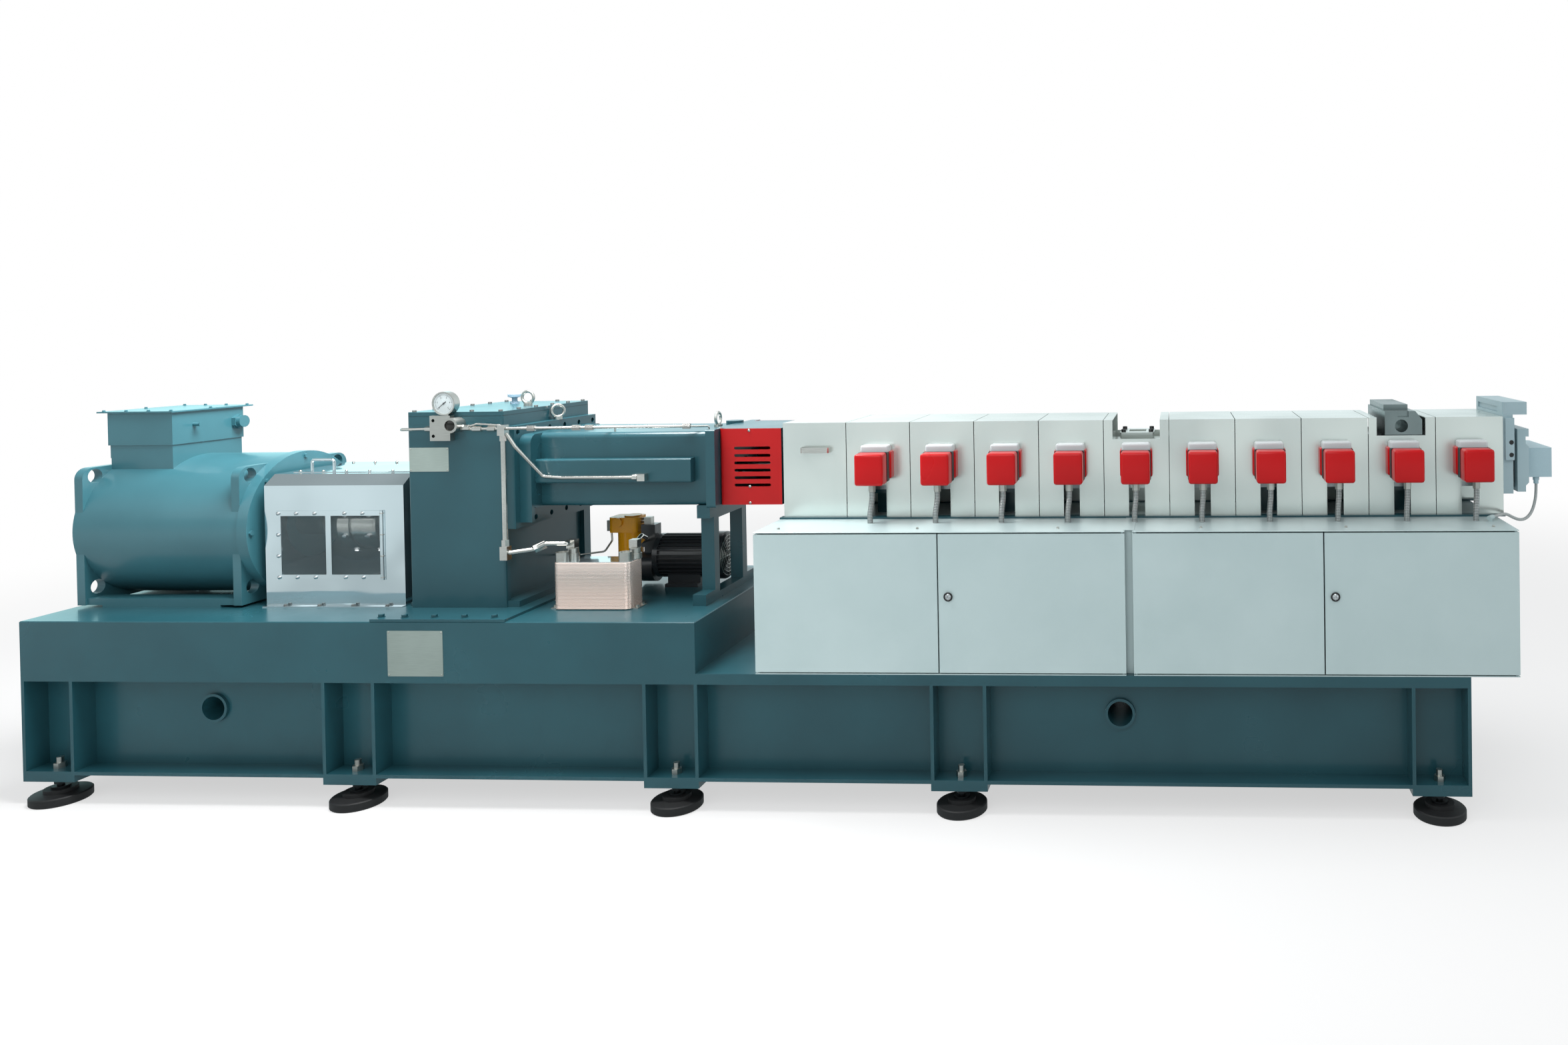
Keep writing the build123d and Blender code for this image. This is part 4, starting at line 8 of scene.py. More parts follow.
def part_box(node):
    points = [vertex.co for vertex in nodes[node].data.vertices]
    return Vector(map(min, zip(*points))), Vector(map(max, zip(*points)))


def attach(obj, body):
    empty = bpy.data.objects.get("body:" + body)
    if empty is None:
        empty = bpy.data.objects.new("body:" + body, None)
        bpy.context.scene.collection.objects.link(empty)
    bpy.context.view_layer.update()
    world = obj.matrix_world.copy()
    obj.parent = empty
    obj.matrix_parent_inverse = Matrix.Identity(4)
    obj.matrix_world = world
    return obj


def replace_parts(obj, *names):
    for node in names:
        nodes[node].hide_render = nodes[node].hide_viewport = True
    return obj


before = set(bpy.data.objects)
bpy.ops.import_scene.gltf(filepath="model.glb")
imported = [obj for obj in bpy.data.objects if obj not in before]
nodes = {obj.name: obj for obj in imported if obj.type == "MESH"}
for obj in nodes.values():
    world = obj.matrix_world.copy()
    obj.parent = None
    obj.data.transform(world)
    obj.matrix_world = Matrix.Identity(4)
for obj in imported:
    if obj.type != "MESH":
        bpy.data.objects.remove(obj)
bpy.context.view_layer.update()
# A millimetre in metres
MM = 0.001

# Camera, at the photograph's viewing angle: place in metres, turns in radians, film and lens in millimetres
CAMERA_AT = (1.5443, -4.4251, 1.8213)
YAW, PITCH, ROLL = 0.0570, 0.0128, 0.0144
FILM_WIDTH, LENS = 36, 24.555
SHIFT = (-0.2120, -0.1163)


def set_camera():
    """Level view from the front right, with the small tilt and roll of the photograph."""
    ahead = Vector((-math.sin(YAW), math.cos(YAW), 0))
    right = Vector((math.cos(YAW), math.sin(YAW), 0))
    up = Vector((0, 0, 1))
    look = ahead * math.cos(PITCH) - up * math.sin(PITCH)
    lift = up * math.cos(PITCH) + ahead * math.sin(PITCH)
    side = right * math.cos(ROLL) - lift * math.sin(ROLL)
    top = right * math.sin(ROLL) + lift * math.cos(ROLL)
    data = bpy.data.cameras.new("camera")
    data.lens = LENS
    data.sensor_width = FILM_WIDTH
    data.shift_x, data.shift_y = SHIFT
    data.clip_end = 100
    camera = bpy.data.objects.new("camera", data)
    bpy.context.scene.collection.objects.link(camera)
    rows = [(side[axis], top[axis], -look[axis], CAMERA_AT[axis]) for axis in range(3)]
    camera.matrix_world = Matrix(rows + [(0, 0, 0, 1)])
    bpy.context.scene.camera = camera


set_camera()
bpy.context.scene.view_settings.view_transform = "Standard"


# Materials
def linear(code):
    """An sRGB hex colour as linear RGBA."""
    channels = [int(code[start:start + 2], 16) / 255 for start in (1, 3, 5)]
    return tuple(c / 12.92 if c <= 0.04045 else ((c + 0.055) / 1.055) ** 2.4 for c in channels) + (1,)


def feed(tree, node, inputs):
    """A node's inputs, each set to a plain value or linked from a (node, output) pair."""
    for key, value in inputs.items():
        if isinstance(value, tuple) and isinstance(value[0], bpy.types.Node):
            tree.links.new(value[0].outputs[value[1]], node.inputs[key])
        else:
            node.inputs[key].default_value = value


def add(tree, kind, inputs=None, **settings):
    """A node with its settings, values and links."""
    made = tree.nodes.new(kind)
    for key, value in settings.items():
        setattr(made, key, value)
    feed(tree, made, inputs or {})
    return made


def new_material(name):
    """A material with its tree, its Principled shader and its Object coordinates."""
    material = bpy.data.materials.new(name)
    material.use_nodes = True
    tree = material.node_tree
    return material, tree, tree.nodes["Principled BSDF"], (add(tree, "ShaderNodeTexCoord"), "Object")


def scale(size):
    """A pattern's scale for a size in millimetres."""
    return 1 / (size * MM)


def two_tone(tree, pattern, low, high, colour, shade):
    """A colour that goes over into its shade as a pattern rises from low to high."""
    share = add(tree, "ShaderNodeMapRange", {"Value": pattern, "From Min": low, "From Max": high})
    mix = add(tree, "ShaderNodeMix", {0: (share, "Result"), 6: linear(colour), 7: linear(shade)},
              data_type="RGBA")
    return (mix, 2)


def painted(name, colour, shade, roughness, grain, depth, coat=0.0, shine=0.5):
    """Sprayed paint or enamel on steel: soft clouds of shade, and an orange peel of grain by depth mm."""
    material, tree, shader, coords = new_material(name)
    clouds = add(tree, "ShaderNodeTexNoise", {"Vector": coords, "Scale": scale(333.3), "Detail": 4.0})
    gloss = add(tree, "ShaderNodeMapRange", {"Value": (clouds, "Fac"), "From Min": 0.3, "From Max": 0.7,
                                             "To Min": roughness - 0.04, "To Max": roughness + 0.05})
    peel = add(tree, "ShaderNodeTexNoise", {"Vector": coords, "Scale": scale(grain), "Detail": 2.0})
    bump = add(tree, "ShaderNodeBump", {"Height": (peel, "Fac"), "Distance": depth * MM, "Strength": 1.0})
    feed(tree, shader, {"Base Color": two_tone(tree, (clouds, "Fac"), 0.3, 0.7, colour, shade),
                        "Roughness": (gloss, "Result"), "Normal": (bump, "Normal"),
                        "Specular IOR Level": shine, "Coat Weight": coat, "Coat Roughness": 0.12})
    return material


def brushed(name, colour, shade, roughness, direction, line=1.5):
    """Brushed sheet or turned bar: fine lines along one axis, line mm apart, that vary in tone and in gloss."""
    material, tree, shader, coords = new_material(name)
    stretch = tuple(scale(line) if axis != direction else scale(line * 60) for axis in range(3))
    mapping = add(tree, "ShaderNodeMapping", {"Vector": coords, "Scale": stretch})
    lines = add(tree, "ShaderNodeTexNoise", {"Vector": (mapping, "Vector"), "Scale": 1.0, "Detail": 3.0})
    clouds = add(tree, "ShaderNodeTexNoise", {"Vector": coords, "Scale": scale(200), "Detail": 3.0})
    blend = add(tree, "ShaderNodeMath", {0: (lines, "Fac"), 1: (clouds, "Fac")}, operation="ADD")
    gloss = add(tree, "ShaderNodeMapRange", {"Value": (blend, "Value"), "From Min": 0.8, "From Max": 1.25,
                                             "To Min": roughness - 0.05, "To Max": roughness + 0.07})
    bump = add(tree, "ShaderNodeBump", {"Height": (lines, "Fac"), "Distance": 0.02 * MM, "Strength": 0.6})
    feed(tree, shader, {"Base Color": two_tone(tree, (blend, "Value"), 0.8, 1.25, colour, shade),
                        "Roughness": (gloss, "Result"), "Normal": (bump, "Normal"), "Metallic": 1.0})
    return material


def sheet_metal(name, colour, shade, roughness, metallic, wave):
    """Polished sheet without a grain: slow swells in tone and gloss, wave mm deep, as rolled sheet has."""
    material, tree, shader, coords = new_material(name)
    swell = add(tree, "ShaderNodeTexNoise", {"Vector": coords, "Scale": scale(285.7), "Detail": 1.0})
    gloss = add(tree, "ShaderNodeMapRange", {"Value": (swell, "Fac"), "From Min": 0.35, "From Max": 0.68,
                                             "To Min": roughness - 0.03, "To Max": roughness + 0.05})
    bump = add(tree, "ShaderNodeBump", {"Height": (swell, "Fac"), "Distance": wave * MM, "Strength": 1.0})
    feed(tree, shader, {"Base Color": two_tone(tree, (swell, "Fac"), 0.35, 0.68, colour, shade),
                        "Roughness": (gloss, "Result"), "Normal": (bump, "Normal"), "Metallic": metallic})
    return material


def moulded(name, colour, shade, roughness, grain, depth):
    """Moulded or cast: even colour with a fine matt texture of grain by depth mm."""
    material, tree, shader, coords = new_material(name)
    speck = add(tree, "ShaderNodeTexNoise", {"Vector": coords, "Scale": scale(grain), "Detail": 5.0})
    bump = add(tree, "ShaderNodeBump", {"Height": (speck, "Fac"), "Distance": depth * MM, "Strength": 0.8})
    feed(tree, shader, {"Base Color": two_tone(tree, (speck, "Fac"), 0.35, 0.65, colour, shade),
                        "Roughness": roughness, "Normal": (bump, "Normal")})
    return material


# Millimetres between the bands of Blender's wave texture at a scale of 1 a millimetre
WAVE_PERIOD = 0.314


def ringed(name, colour, shade, roughness, pitch):
    """Metal with a level ring every pitch mm, as on a wound hose or a stack of plates, darker in the grooves:
    copper braze between plates, painted shade in a hose's grooves.
    """
    material, tree, shader, coords = new_material(name)
    bands = add(tree, "ShaderNodeTexWave", {"Vector": coords, "Scale": WAVE_PERIOD * scale(pitch)},
                bands_direction="Z", wave_profile="SIN")
    # The shade colour fills the grooves: copper braze on a plate stack, painted shade on a wound hose
    mix = add(tree, "ShaderNodeMix", {0: (bands, "Fac"), 6: linear(shade), 7: linear(colour)}, data_type="RGBA")
    bump = add(tree, "ShaderNodeBump", {"Height": (bands, "Fac"), "Distance": 0.8 * MM, "Strength": 1.0})
    feed(tree, shader, {"Base Color": (mix, 2), "Roughness": roughness, "Normal": (bump, "Normal"),
                        "Metallic": 0.6})
    return material


def clear(name, colour, roughness, cover):
    """Clear acrylic or glass, of which only the share called cover is seen."""
    material, tree, shader, coords = new_material(name)
    film = add(tree, "ShaderNodeTexNoise", {"Vector": coords, "Scale": scale(333.3), "Detail": 1.0})
    bump = add(tree, "ShaderNodeBump", {"Height": (film, "Fac"), "Distance": 1.0 * MM, "Strength": 1.0})
    feed(tree, shader, {"Base Color": linear(colour), "Roughness": roughness, "Alpha": cover,
                        "Normal": (bump, "Normal")})
    return material


# The axes that brushed lines run along
X, Y = 0, 1
# Sprayed two-pack machine paint: deep petrol green-blue with a soft gloss and a faint orange peel
teal = painted("machine_paint_teal", "#234f58", "#1d4750", 0.30, 4.0, 0.04, coat=0.25, shine=0.40)
# The motor's own lighter coat, a little flatter than the machine's
motor_teal = painted("motor_paint_light_teal", "#396b75", "#32626c", 0.34, 4.0, 0.05, coat=0.30)
# Powder coat on folded steel: pale grey with a breath of blue, dull satin
cabinet_coat = painted("cabinet_powder_coat", "#b2c5c6", "#aabebf", 0.36, 3.0, 0.04, coat=0.25)
# Stainless sheet rolled bright: cool white that blurs what it mirrors
stainless = sheet_metal("bright_stainless_sheet", "#dfe6e1", "#d3dbd7", 0.22, 0.7, 0.8)
# The same sheet with a mirror polish, as on the coupling guard
mirror_sheet = sheet_metal("polished_stainless_sheet", "#d8e4e8", "#ccd8dc", 0.07, 0.95, 9.0)
# Stove enamel on pressed caps: clean signal red under a clear gloss
heater_red = painted("heater_cap_red_enamel", "#c00a10", "#b0080e", 0.30, 5.0, 0.04, coat=0.10, shine=0.25)
# Enamel on folded guards: brick red, flatter than the caps
lantern_red = painted("guard_red_enamel", "#b4181a", "#a41416", 0.36, 5.0, 0.05, coat=0.05, shine=0.25)
# Pressed insulating board: near black and matt
dark_plate = moulded("black_phenolic_plate", "#232526", "#1a1c1e", 0.5, 1.5, 0.03)
# Glazed ceramic collars: white with a dull shine
ceramic = moulded("white_glazed_ceramic", "#c9ced0", "#bcc2c4", 0.28, 2.0, 0.02)
# Turned and milled steel: mid grey with fine tool lines
machined = brushed("turned_steel", "#a9abad", "#8d9092", 0.30, Y, line=1.0)
# Oiled steel of the vent port, darker and a little blue
blued_steel = brushed("oiled_dark_steel", "#8f9b9b", "#7c8888", 0.34, Y, line=1.0)
# Primer-grey coat on the die parts: even, pale blue-grey
die_steel = painted("die_plate_grey_blue", "#a3bac0", "#94acb3", 0.34, 3.0, 0.04)
# Zinc plating: silver with a trace of yellow, lightly streaked
zinc = brushed("zinc_plated_steel", "#c9c9c4", "#b0b0aa", 0.34, X, line=1.0)
# Chemically blackened steel under the foot plates: near black, a little streaked
black_steel = brushed("blackened_steel", "#3a3d3f", "#2c2f31", 0.40, X, line=1.0)
# Zinc plating that has gone dull: mid grey without a shine
dark_zinc = brushed("dull_zinc_steel", "#8f918f", "#7a7c7b", 0.42, X, line=1.0)
# Nickel-plated tube and fittings: bright, almost mirror
nickel = brushed("nickel_plated_tube", "#d6d5d0", "#c3c2bd", 0.20, X, line=1.0)
# Decorative chrome on the lock barrels and the bright screws: almost a mirror
chrome = brushed("chrome_plate", "#dfe2e3", "#d2d6d8", 0.10, X, line=1.0)
# Burnished black cap screws: soft dark sheen
black_oxide = moulded("black_oxide_steel", "#232425", "#191a1b", 0.36, 1.0, 0.01)
# Anodised aluminium plate: flat silver grey
plate_aluminium = brushed("anodised_aluminium_plate", "#c2cec7", "#b2beb7", 0.46, X, line=0.8)
# Die-cast aluminium: pale blue-grey with a dull grain
grey_box = moulded("cast_aluminium_box", "#a8c2ca", "#9cb6bf", 0.42, 1.2, 0.05)
# Vulcanised rubber: black, dead matt
rubber = moulded("black_rubber", "#17181a", "#0f1011", 0.62, 2.0, 0.08)
# Moulded black plastic of the lock rings: dull satin
black_plastic = moulded("black_nylon", "#1c1d1e", "#141516", 0.4, 1.0, 0.01)
# Stainless plates brazed with copper: pinkish silver, browner in the grooves between the plates
copper = ringed("copper_brazed_steel", "#fff2ea", "#e4cfc3", 0.22, 5.03)
# Black stove enamel on the pump set: soft gloss on cast metal
black_paint = painted("pump_black_enamel", "#2c3033", "#202326", 0.30, 3.0, 0.06, coat=0.3)
# Wound metal hose: grey, with a fine ring every few millimetres
hose = moulded("grey_metal_hose", "#adb3b2", "#989e9e", 0.38, 1.5, 0.03)
# The same hose where it hangs upright, with painted shade darkening the grooves between its rings
hose_upright = ringed("grey_metal_hose_upright", "#b0b5b4", "#666b6b", 0.36, 6.0)
# Gloss enamel of the filter bowl: warm amber
amber = moulded("amber_filter_enamel", "#ffb216", "#f4a612", 0.22, 3.0, 0.03)
# Cast acrylic: clear with clean edges
acrylic = clear("clear_acrylic_pane", "#8fa3a8", 0.03, 0.10)
# Flat glass of the gauge, clearer than the pane
gauge_glass = clear("gauge_glass", "#dbe4e8", 0.02, 0.06)
# Glass-filled nylon of the breather: pale blue-grey
breather_blue = moulded("blue_grey_nylon", "#93adbd", "#839fb0", 0.45, 1.5, 0.04)
# Gauge dial: matt white card with black print
dial_white = moulded("white_dial_enamel", "#c6d0d1", "#bcc7c8", 0.5, 1.0, 0.005)
dial_black = moulded("black_dial_print", "#151617", "#101112", 0.5, 1.0, 0.005)
# Oil behind the sight glass: dark with a sharp gloss
dark_oil = moulded("dark_oil_glass", "#1d1c18", "#15140f", 0.08, 4.0, 0.005)

# Each finish with the solids that have it
FINISHES = [
    (teal, ["base_side_beams", "base_cross_members", "drive_plinth", "process_deck", "gearbox_sole_plate",
            "gearbox_housing", "gearbox_neck", "distribution_housing", "gearbox_stand", "lantern_frame",
            "barrel_posts", "cover_rails"]),
    (motor_teal, ["motor_body", "terminal_box", "motor_end_disc"]),
    (cabinet_coat, ["cabinet_left", "cabinet_right", "door_1", "door_2", "door_3", "door_4"]),
    (stainless, ["barrel_covers", "feed_cover", "vent_cover", "feed_flange", "feed_barrel"]),
    (mirror_sheet, ["coupling_guard", "guard_window_frame", "guard_lid"]),
    (heater_red, ["heater_boxes"]),
    (lantern_red, ["lantern_guards"]),
    (dark_plate, ["heater_plates", "die_body"]),
    (ceramic, ["heater_brackets"]),
    (machined, ["barrels", "screw_shafts"]),
    (blued_steel, ["vent_port"]),
    (nickel, ["coupling_motor_half", "coupling_gearbox_half", "cover_handle", "oil_pipework", "pressure_gauge"]),
    (die_steel, ["die_adapter", "die_plate"]),
    (zinc, ["levelling_studs", "lifting_eyes", "exchanger_ports", "oil_manifold", "filter_fittings"]),
    (hose_upright, ["heater_conduits"]),
    (grey_box, ["junction_box"]),
    (rubber, ["rubber_feet"]),
    (copper, ["exchanger_plates"]),
    (black_paint, ["oil_pump", "pump_motor", "pump_fan_cover"]),
    (amber, ["oil_filter"]),
    (acrylic, ["guard_window_pane"]),
    (breather_blue, ["gearbox_breather"]),
]
for material, names in FINISHES:
    for name in names:
        mesh = nodes[name].data
        mesh.materials.clear()
        mesh.materials.append(material)


def finish_faces(name, material, test):
    """A second finish on the faces of a solid whose centre passes a test."""
    mesh = nodes[name].data
    mesh.materials.append(material)
    for face in mesh.polygons:
        if test(face.center):
            face.material_index = len(mesh.materials) - 1


# Heights in metres where the second finishes start
GLAND_BOTTOM = 1.184
FOOT_PLATE = 0.118
# Zinc plated glands over the hoses' upper ends
finish_faces("heater_conduits", zinc, lambda centre: centre.z > GLAND_BOTTOM)
# Black nuts and swivels under the foot plates
finish_faces("levelling_studs", black_steel, lambda centre: centre.z < FOOT_PLATE)


def deselect():
    """Nothing is selected, so that an operator acts only on the new piece."""
    bpy.ops.object.select_all(action="DESELECT")


# Hose from the junction box, down and back up to its gland on the cabinet
def make_die_cable():
    """The hose as wound rings along one smooth spline through the route's points."""
    gland = Vector((2.964, -0.080, 1.172))
    heading = math.radians(222.8)
    # The route in millimetres: out from the gland, and up from it
    shape = [(0, 0), (0, -38), (12, -78), (38, -114), (80, -132), (128, -130), (176, -114), (222, -94),
             (272, -92), (316, -95)]
    curve = bpy.data.curves.new("die_hose_route", "CURVE")
    curve.dimensions = "3D"
    curve.resolution_u = 64
    spline = curve.splines.new("NURBS")
    spline.points.add(len(shape) - 1)
    for point, (run, rise) in zip(spline.points, shape):
        at = gland + Vector((run * MM * math.cos(heading), run * MM * math.sin(heading), rise * MM))
        point.co = (at.x, at.y, at.z, 1)
    spline.order_u = 3
    spline.use_endpoint_u = True
    route = bpy.data.objects.new("die_hose_route", curve)
    bpy.context.scene.collection.objects.link(route)
    line = [vertex.co.copy() for vertex in bpy.data.meshes.new_from_object(route).vertices]
    bpy.data.objects.remove(route)

    travelled = [0.0]
    for first, second in zip(line, line[1:]):
        travelled.append(travelled[-1] + (second - first).length)
    total = travelled[-1]

    def point_at(distance):
        """The point at a distance along the line, and the direction there."""
        for index in range(1, len(line)):
            if travelled[index] >= distance or index == len(line) - 1:
                share = (distance - travelled[index - 1]) / (travelled[index] - travelled[index - 1])
                return line[index - 1].lerp(line[index], share), (line[index] - line[index - 1]).normalized()

    # One wound ring is 5.5 mm long; its profile is (share of that length, radius in millimetres)
    turns = round(total / (5.5 * MM))
    profile = ((0.0, 5.2), (0.18, 5.9), (0.5, 6.0), (0.82, 5.9))
    sides = 16
    level = Vector((-math.sin(heading), math.cos(heading), 0))
    mesh = bmesh.new()
    rings = []
    for turn in range(turns):
        for share, radius in profile:
            centre, ahead = point_at(total * (turn + share) / turns)
            upright = ahead.cross(level).normalized()
            rings.append([mesh.verts.new(centre + (level * math.cos(a) + upright * math.sin(a)) * radius * MM)
                          for a in [2 * math.pi * side / sides for side in range(sides)]])
    for first, second in zip(rings, rings[1:]):
        for side in range(sides):
            after = (side + 1) % sides
            mesh.faces.new((first[side], first[after], second[after], second[side]))
    mesh.faces.new(rings[0])
    mesh.faces.new(list(reversed(rings[-1])))
    bmesh.ops.recalc_face_normals(mesh, faces=mesh.faces[:])
    data = bpy.data.meshes.new("die_hose")
    mesh.to_mesh(data)
    mesh.free()
    data.materials.append(hose)
    piece = bpy.data.objects.new("die_hose", data)
    bpy.context.scene.collection.objects.link(piece)
    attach(piece, "machine")
    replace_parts(piece, "die_cable")


make_die_cable()


# Directions that a piece's +Z is turned to
FRONT, BACK, UP, RIGHT = (0, -1, 0), (0, 1, 0), (0, 0, 1), (1, 0, 0)


# Small fasteners and dressed pieces, modelled from primitives in edit mode
def edit(piece, mode="FACE"):
    """Edit mode with nothing selected."""
    bpy.context.view_layer.objects.active = piece
    bpy.ops.object.mode_set(mode="EDIT")
    bpy.ops.mesh.select_mode(type=mode)
    bpy.ops.mesh.select_all(action="DESELECT")


def leave():
    """Back to object mode."""
    bpy.ops.object.mode_set(mode="OBJECT")


def pick_top(piece, least=0.9):
    """Only the faces that look up are selected, those whose normal's Z is above least."""
    mesh = bmesh.from_edit_mesh(piece.data)
    for face in mesh.faces:
        face.select_set(face.normal.z > least)
    mesh.select_flush_mode()
    bmesh.update_edit_mesh(piece.data)


def join(pieces):
    """Several pieces as one, which is the first of them."""
    deselect()
    for piece in pieces:
        piece.select_set(True)
    bpy.context.view_layer.objects.active = pieces[0]
    if len(pieces) > 1:
        bpy.ops.object.join()
    return pieces[0]


def bevel(piece, width, segments, angle):
    """Edges sharper than the angle are rounded, and the modifier is applied."""
    modifier = piece.modifiers.new("edge", "BEVEL")
    modifier.width = width
    modifier.segments = segments
    modifier.limit_method = "ANGLE"
    modifier.angle_limit = math.radians(angle)
    bpy.context.view_layer.objects.active = piece
    bpy.ops.object.modifier_apply(modifier="edge")


def place(piece, at, facing):
    """Turns the piece's +Z to a direction, moves it there and writes both into its mesh."""
    turn = Vector(UP).rotation_difference(Vector(facing)).to_matrix().to_4x4()
    piece.data.transform(Matrix.Translation(Vector(at)) @ turn)
    piece.matrix_world = Matrix.Identity(4)


def copies(piece, spots):
    """One piece copied to many places, each copy with its own mesh, and joined."""
    made = []
    for at, facing in spots:
        twin = piece.copy()
        twin.data = piece.data.copy()
        bpy.context.scene.collection.objects.link(twin)
        place(twin, at, facing)
        made.append(twin)
    bpy.data.objects.remove(piece)
    return join(made)


def dress(piece, name, material, body="machine"):
    """Name, finish and body of a finished piece."""
    piece.name = name
    piece.data.materials.clear()
    piece.data.materials.append(material)
    deselect()
    piece.select_set(True)
    bpy.context.view_layer.objects.active = piece
    bpy.ops.object.shade_smooth_by_angle(angle=math.radians(35))
    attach(piece, body)
    return piece


def fit(piece, spots, name, material, body="machine"):
    """Copies of a piece at their spots, dressed as one piece of the object."""
    return dress(copies(piece, spots), name, material, body)


def disc(radius, height, sides=24, rim=0.0):
    """A short cylinder that stands on the XY plane, with a bevelled upper rim."""
    deselect()
    bpy.ops.mesh.primitive_cylinder_add(vertices=sides, radius=radius, depth=height)
    piece = bpy.context.object
    piece.data.transform(Matrix.Translation((0, 0, height / 2)))
    if rim:
        edit(piece)
        pick_top(piece)
        bpy.ops.mesh.bevel(offset=rim, segments=2, affect="EDGES")
        leave()
    return piece


def socket_screw(radius, height):
    """Cap screw: a round head with a rounded rim and a hexagon socket half as deep as the head."""
    piece = disc(radius, height, sides=24, rim=radius * 0.12)
    deselect()
    bpy.ops.mesh.primitive_cylinder_add(vertices=6, radius=radius * 0.55, depth=height, location=(0, 0, height))
    cutter = bpy.context.object
    cut = piece.modifiers.new("socket", "BOOLEAN")
    cut.operation = "DIFFERENCE"
    cut.object = cutter
    bpy.context.view_layer.objects.active = piece
    bpy.ops.object.modifier_apply(modifier="socket")
    bpy.data.objects.remove(cutter)
    return piece


def hex_screw(radius, height):
    """Hexagon head on a thin washer, with the corners of the head taken off."""
    deselect()
    bpy.ops.mesh.primitive_cylinder_add(vertices=24, radius=radius * 1.25, depth=height * 0.2)
    washer = bpy.context.object
    washer.data.transform(Matrix.Translation((0, 0, height * 0.1)))
    deselect()
    bpy.ops.mesh.primitive_cylinder_add(vertices=6, radius=radius, depth=height * 0.8)
    head = bpy.context.object
    head.data.transform(Matrix.Translation((0, 0, height * 0.6)))
    bevel(head, radius * 0.1, segments=2, angle=75)
    return join([washer, head])


def dome_screw(radius, height):
    """Pan head: a disc whose top is drawn in and up three times, to a dome."""
    piece = disc(radius, height * 0.5, sides=20)
    edit(piece)
    pick_top(piece)
    for step in range(3):
        bpy.ops.mesh.inset(thickness=radius * 0.22, depth=height * 0.5 * (0.5 - step * 0.16))
    leave()
    return piece


def rounded_box(size, centre, corner, test, segments=4):
    """A box whose chosen edges are rounded; the test gets an edge's middle, from -0.5 to 0.5 on each axis."""
    deselect()
    bpy.ops.mesh.primitive_cube_add(size=1)
    piece = bpy.context.object
    piece.data.transform(Matrix.Diagonal((*size, 1)))
    edit(piece, "EDGE")
    mesh = bmesh.from_edit_mesh(piece.data)
    for edge in mesh.edges:
        middle = (edge.verts[0].co + edge.verts[1].co) / 2
        edge.select_set(test(Vector([middle[axis] / size[axis] for axis in range(3)])))
    bmesh.update_edit_mesh(piece.data)
    bpy.ops.mesh.bevel(offset=corner, segments=segments, affect="EDGES")
    leave()
    piece.data.transform(Matrix.Translation(Vector(centre)))
    return piece


def plate(width, height, thickness, corner):
    """A thin plate with rounded corners that stands on the XY plane."""
    return rounded_box((width, height, thickness), (0, 0, thickness / 2), corner, lambda at: abs(at.z) < 0.4,
                       segments=5)


def low(name):
    """A CAD node's lowest corner."""
    return Vector(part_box(name)[0])


def high(name):
    """A CAD node's highest corner."""
    return Vector(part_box(name)[1])


def along(first, last, count):
    """Evenly spaced values from first to last."""
    return [first + (last - first) * k / (count - 1) for k in range(count)]


# Coupling guard: pan head screws round the window and on the lid, hexagon screws on the foot strips
def dress_coupling_guard():
    """All of them stand on the guard's sheet, the first ones over the edge of the window's frame."""
    guard_low, guard_high = low("coupling_guard"), high("coupling_guard")
    foot, lip, edge = 22 * MM, 3 * MM, 10.5 * MM
    front = guard_low.y + foot
    sheet = front - lip
    frame_low, frame_high = low("guard_window_frame"), high("guard_window_frame")
    width = frame_high.x - frame_low.x
    columns = [frame_low.x + width * share for share in (0.025, 0.19, 0.36, 0.635, 0.80)]
    rows = (frame_low.z + edge, frame_high.z - edge)
    levels = along(rows[0], rows[1], 4)
    spots = [((x, sheet, z), FRONT) for x in columns for z in rows]
    spots += [((frame_low.x + edge, sheet, z), FRONT) for z in levels[1:3]]
    fit(dome_screw(7.5 * MM, 6.5 * MM), spots, "guard_window_screws", chrome)

    rod_x = frame_high.x - edge
    spots = [((rod_x, sheet, z - 2 * MM), UP) for z in levels]
    fit(disc(8.6 * MM, 4 * MM, sides=24, rim=1 * MM), spots, "guard_window_rod_bands", zinc)

    lid_low, lid_high = low("guard_lid"), high("guard_lid")
    inset_x, inset_y = 20 * MM, 12 * MM
    spots = [((x, y, guard_high.z + lip), UP) for x in along(lid_low.x + inset_x, lid_high.x - inset_x, 6)
             for y in (lid_low.y + inset_y, lid_high.y - inset_y)]
    fit(dome_screw(6 * MM, 6 * MM), spots, "guard_lid_screws", nickel)

    strip = guard_low.z + 4 * MM
    spots = [((x, y, strip), UP) for x in along(guard_low.x + 90 * MM, guard_high.x - 70 * MM, 4)
             for y in (front - foot / 2, -front + foot / 2)]
    fit(hex_screw(6.5 * MM, 7 * MM), spots, "guard_foot_bolts", dark_zinc)


# Coupling: screws round both flanges, which turn with it
def dress_coupling():
    """The flanges stand on either side of the joint; place, height and radius are in metres."""
    joint, centre_z, radius, flange = -1.9215, 1.03, 0.1245, 52 * MM
    count = 8
    spots = []
    for x in (joint - flange, joint + flange):
        for turn in range(count):
            angle = 2 * math.pi * (turn + 0.5) / count
            out = (0, math.sin(angle), math.cos(angle))
            spots.append(((x, out[1] * radius, centre_z + out[2] * radius), out))
    fit(hex_screw(13 * MM, 12 * MM), spots, "coupling_flange_bolts", chrome, "coupling_rotor")


# Height of the cabinets' tops in metres
CABINET_TOP = 1.063


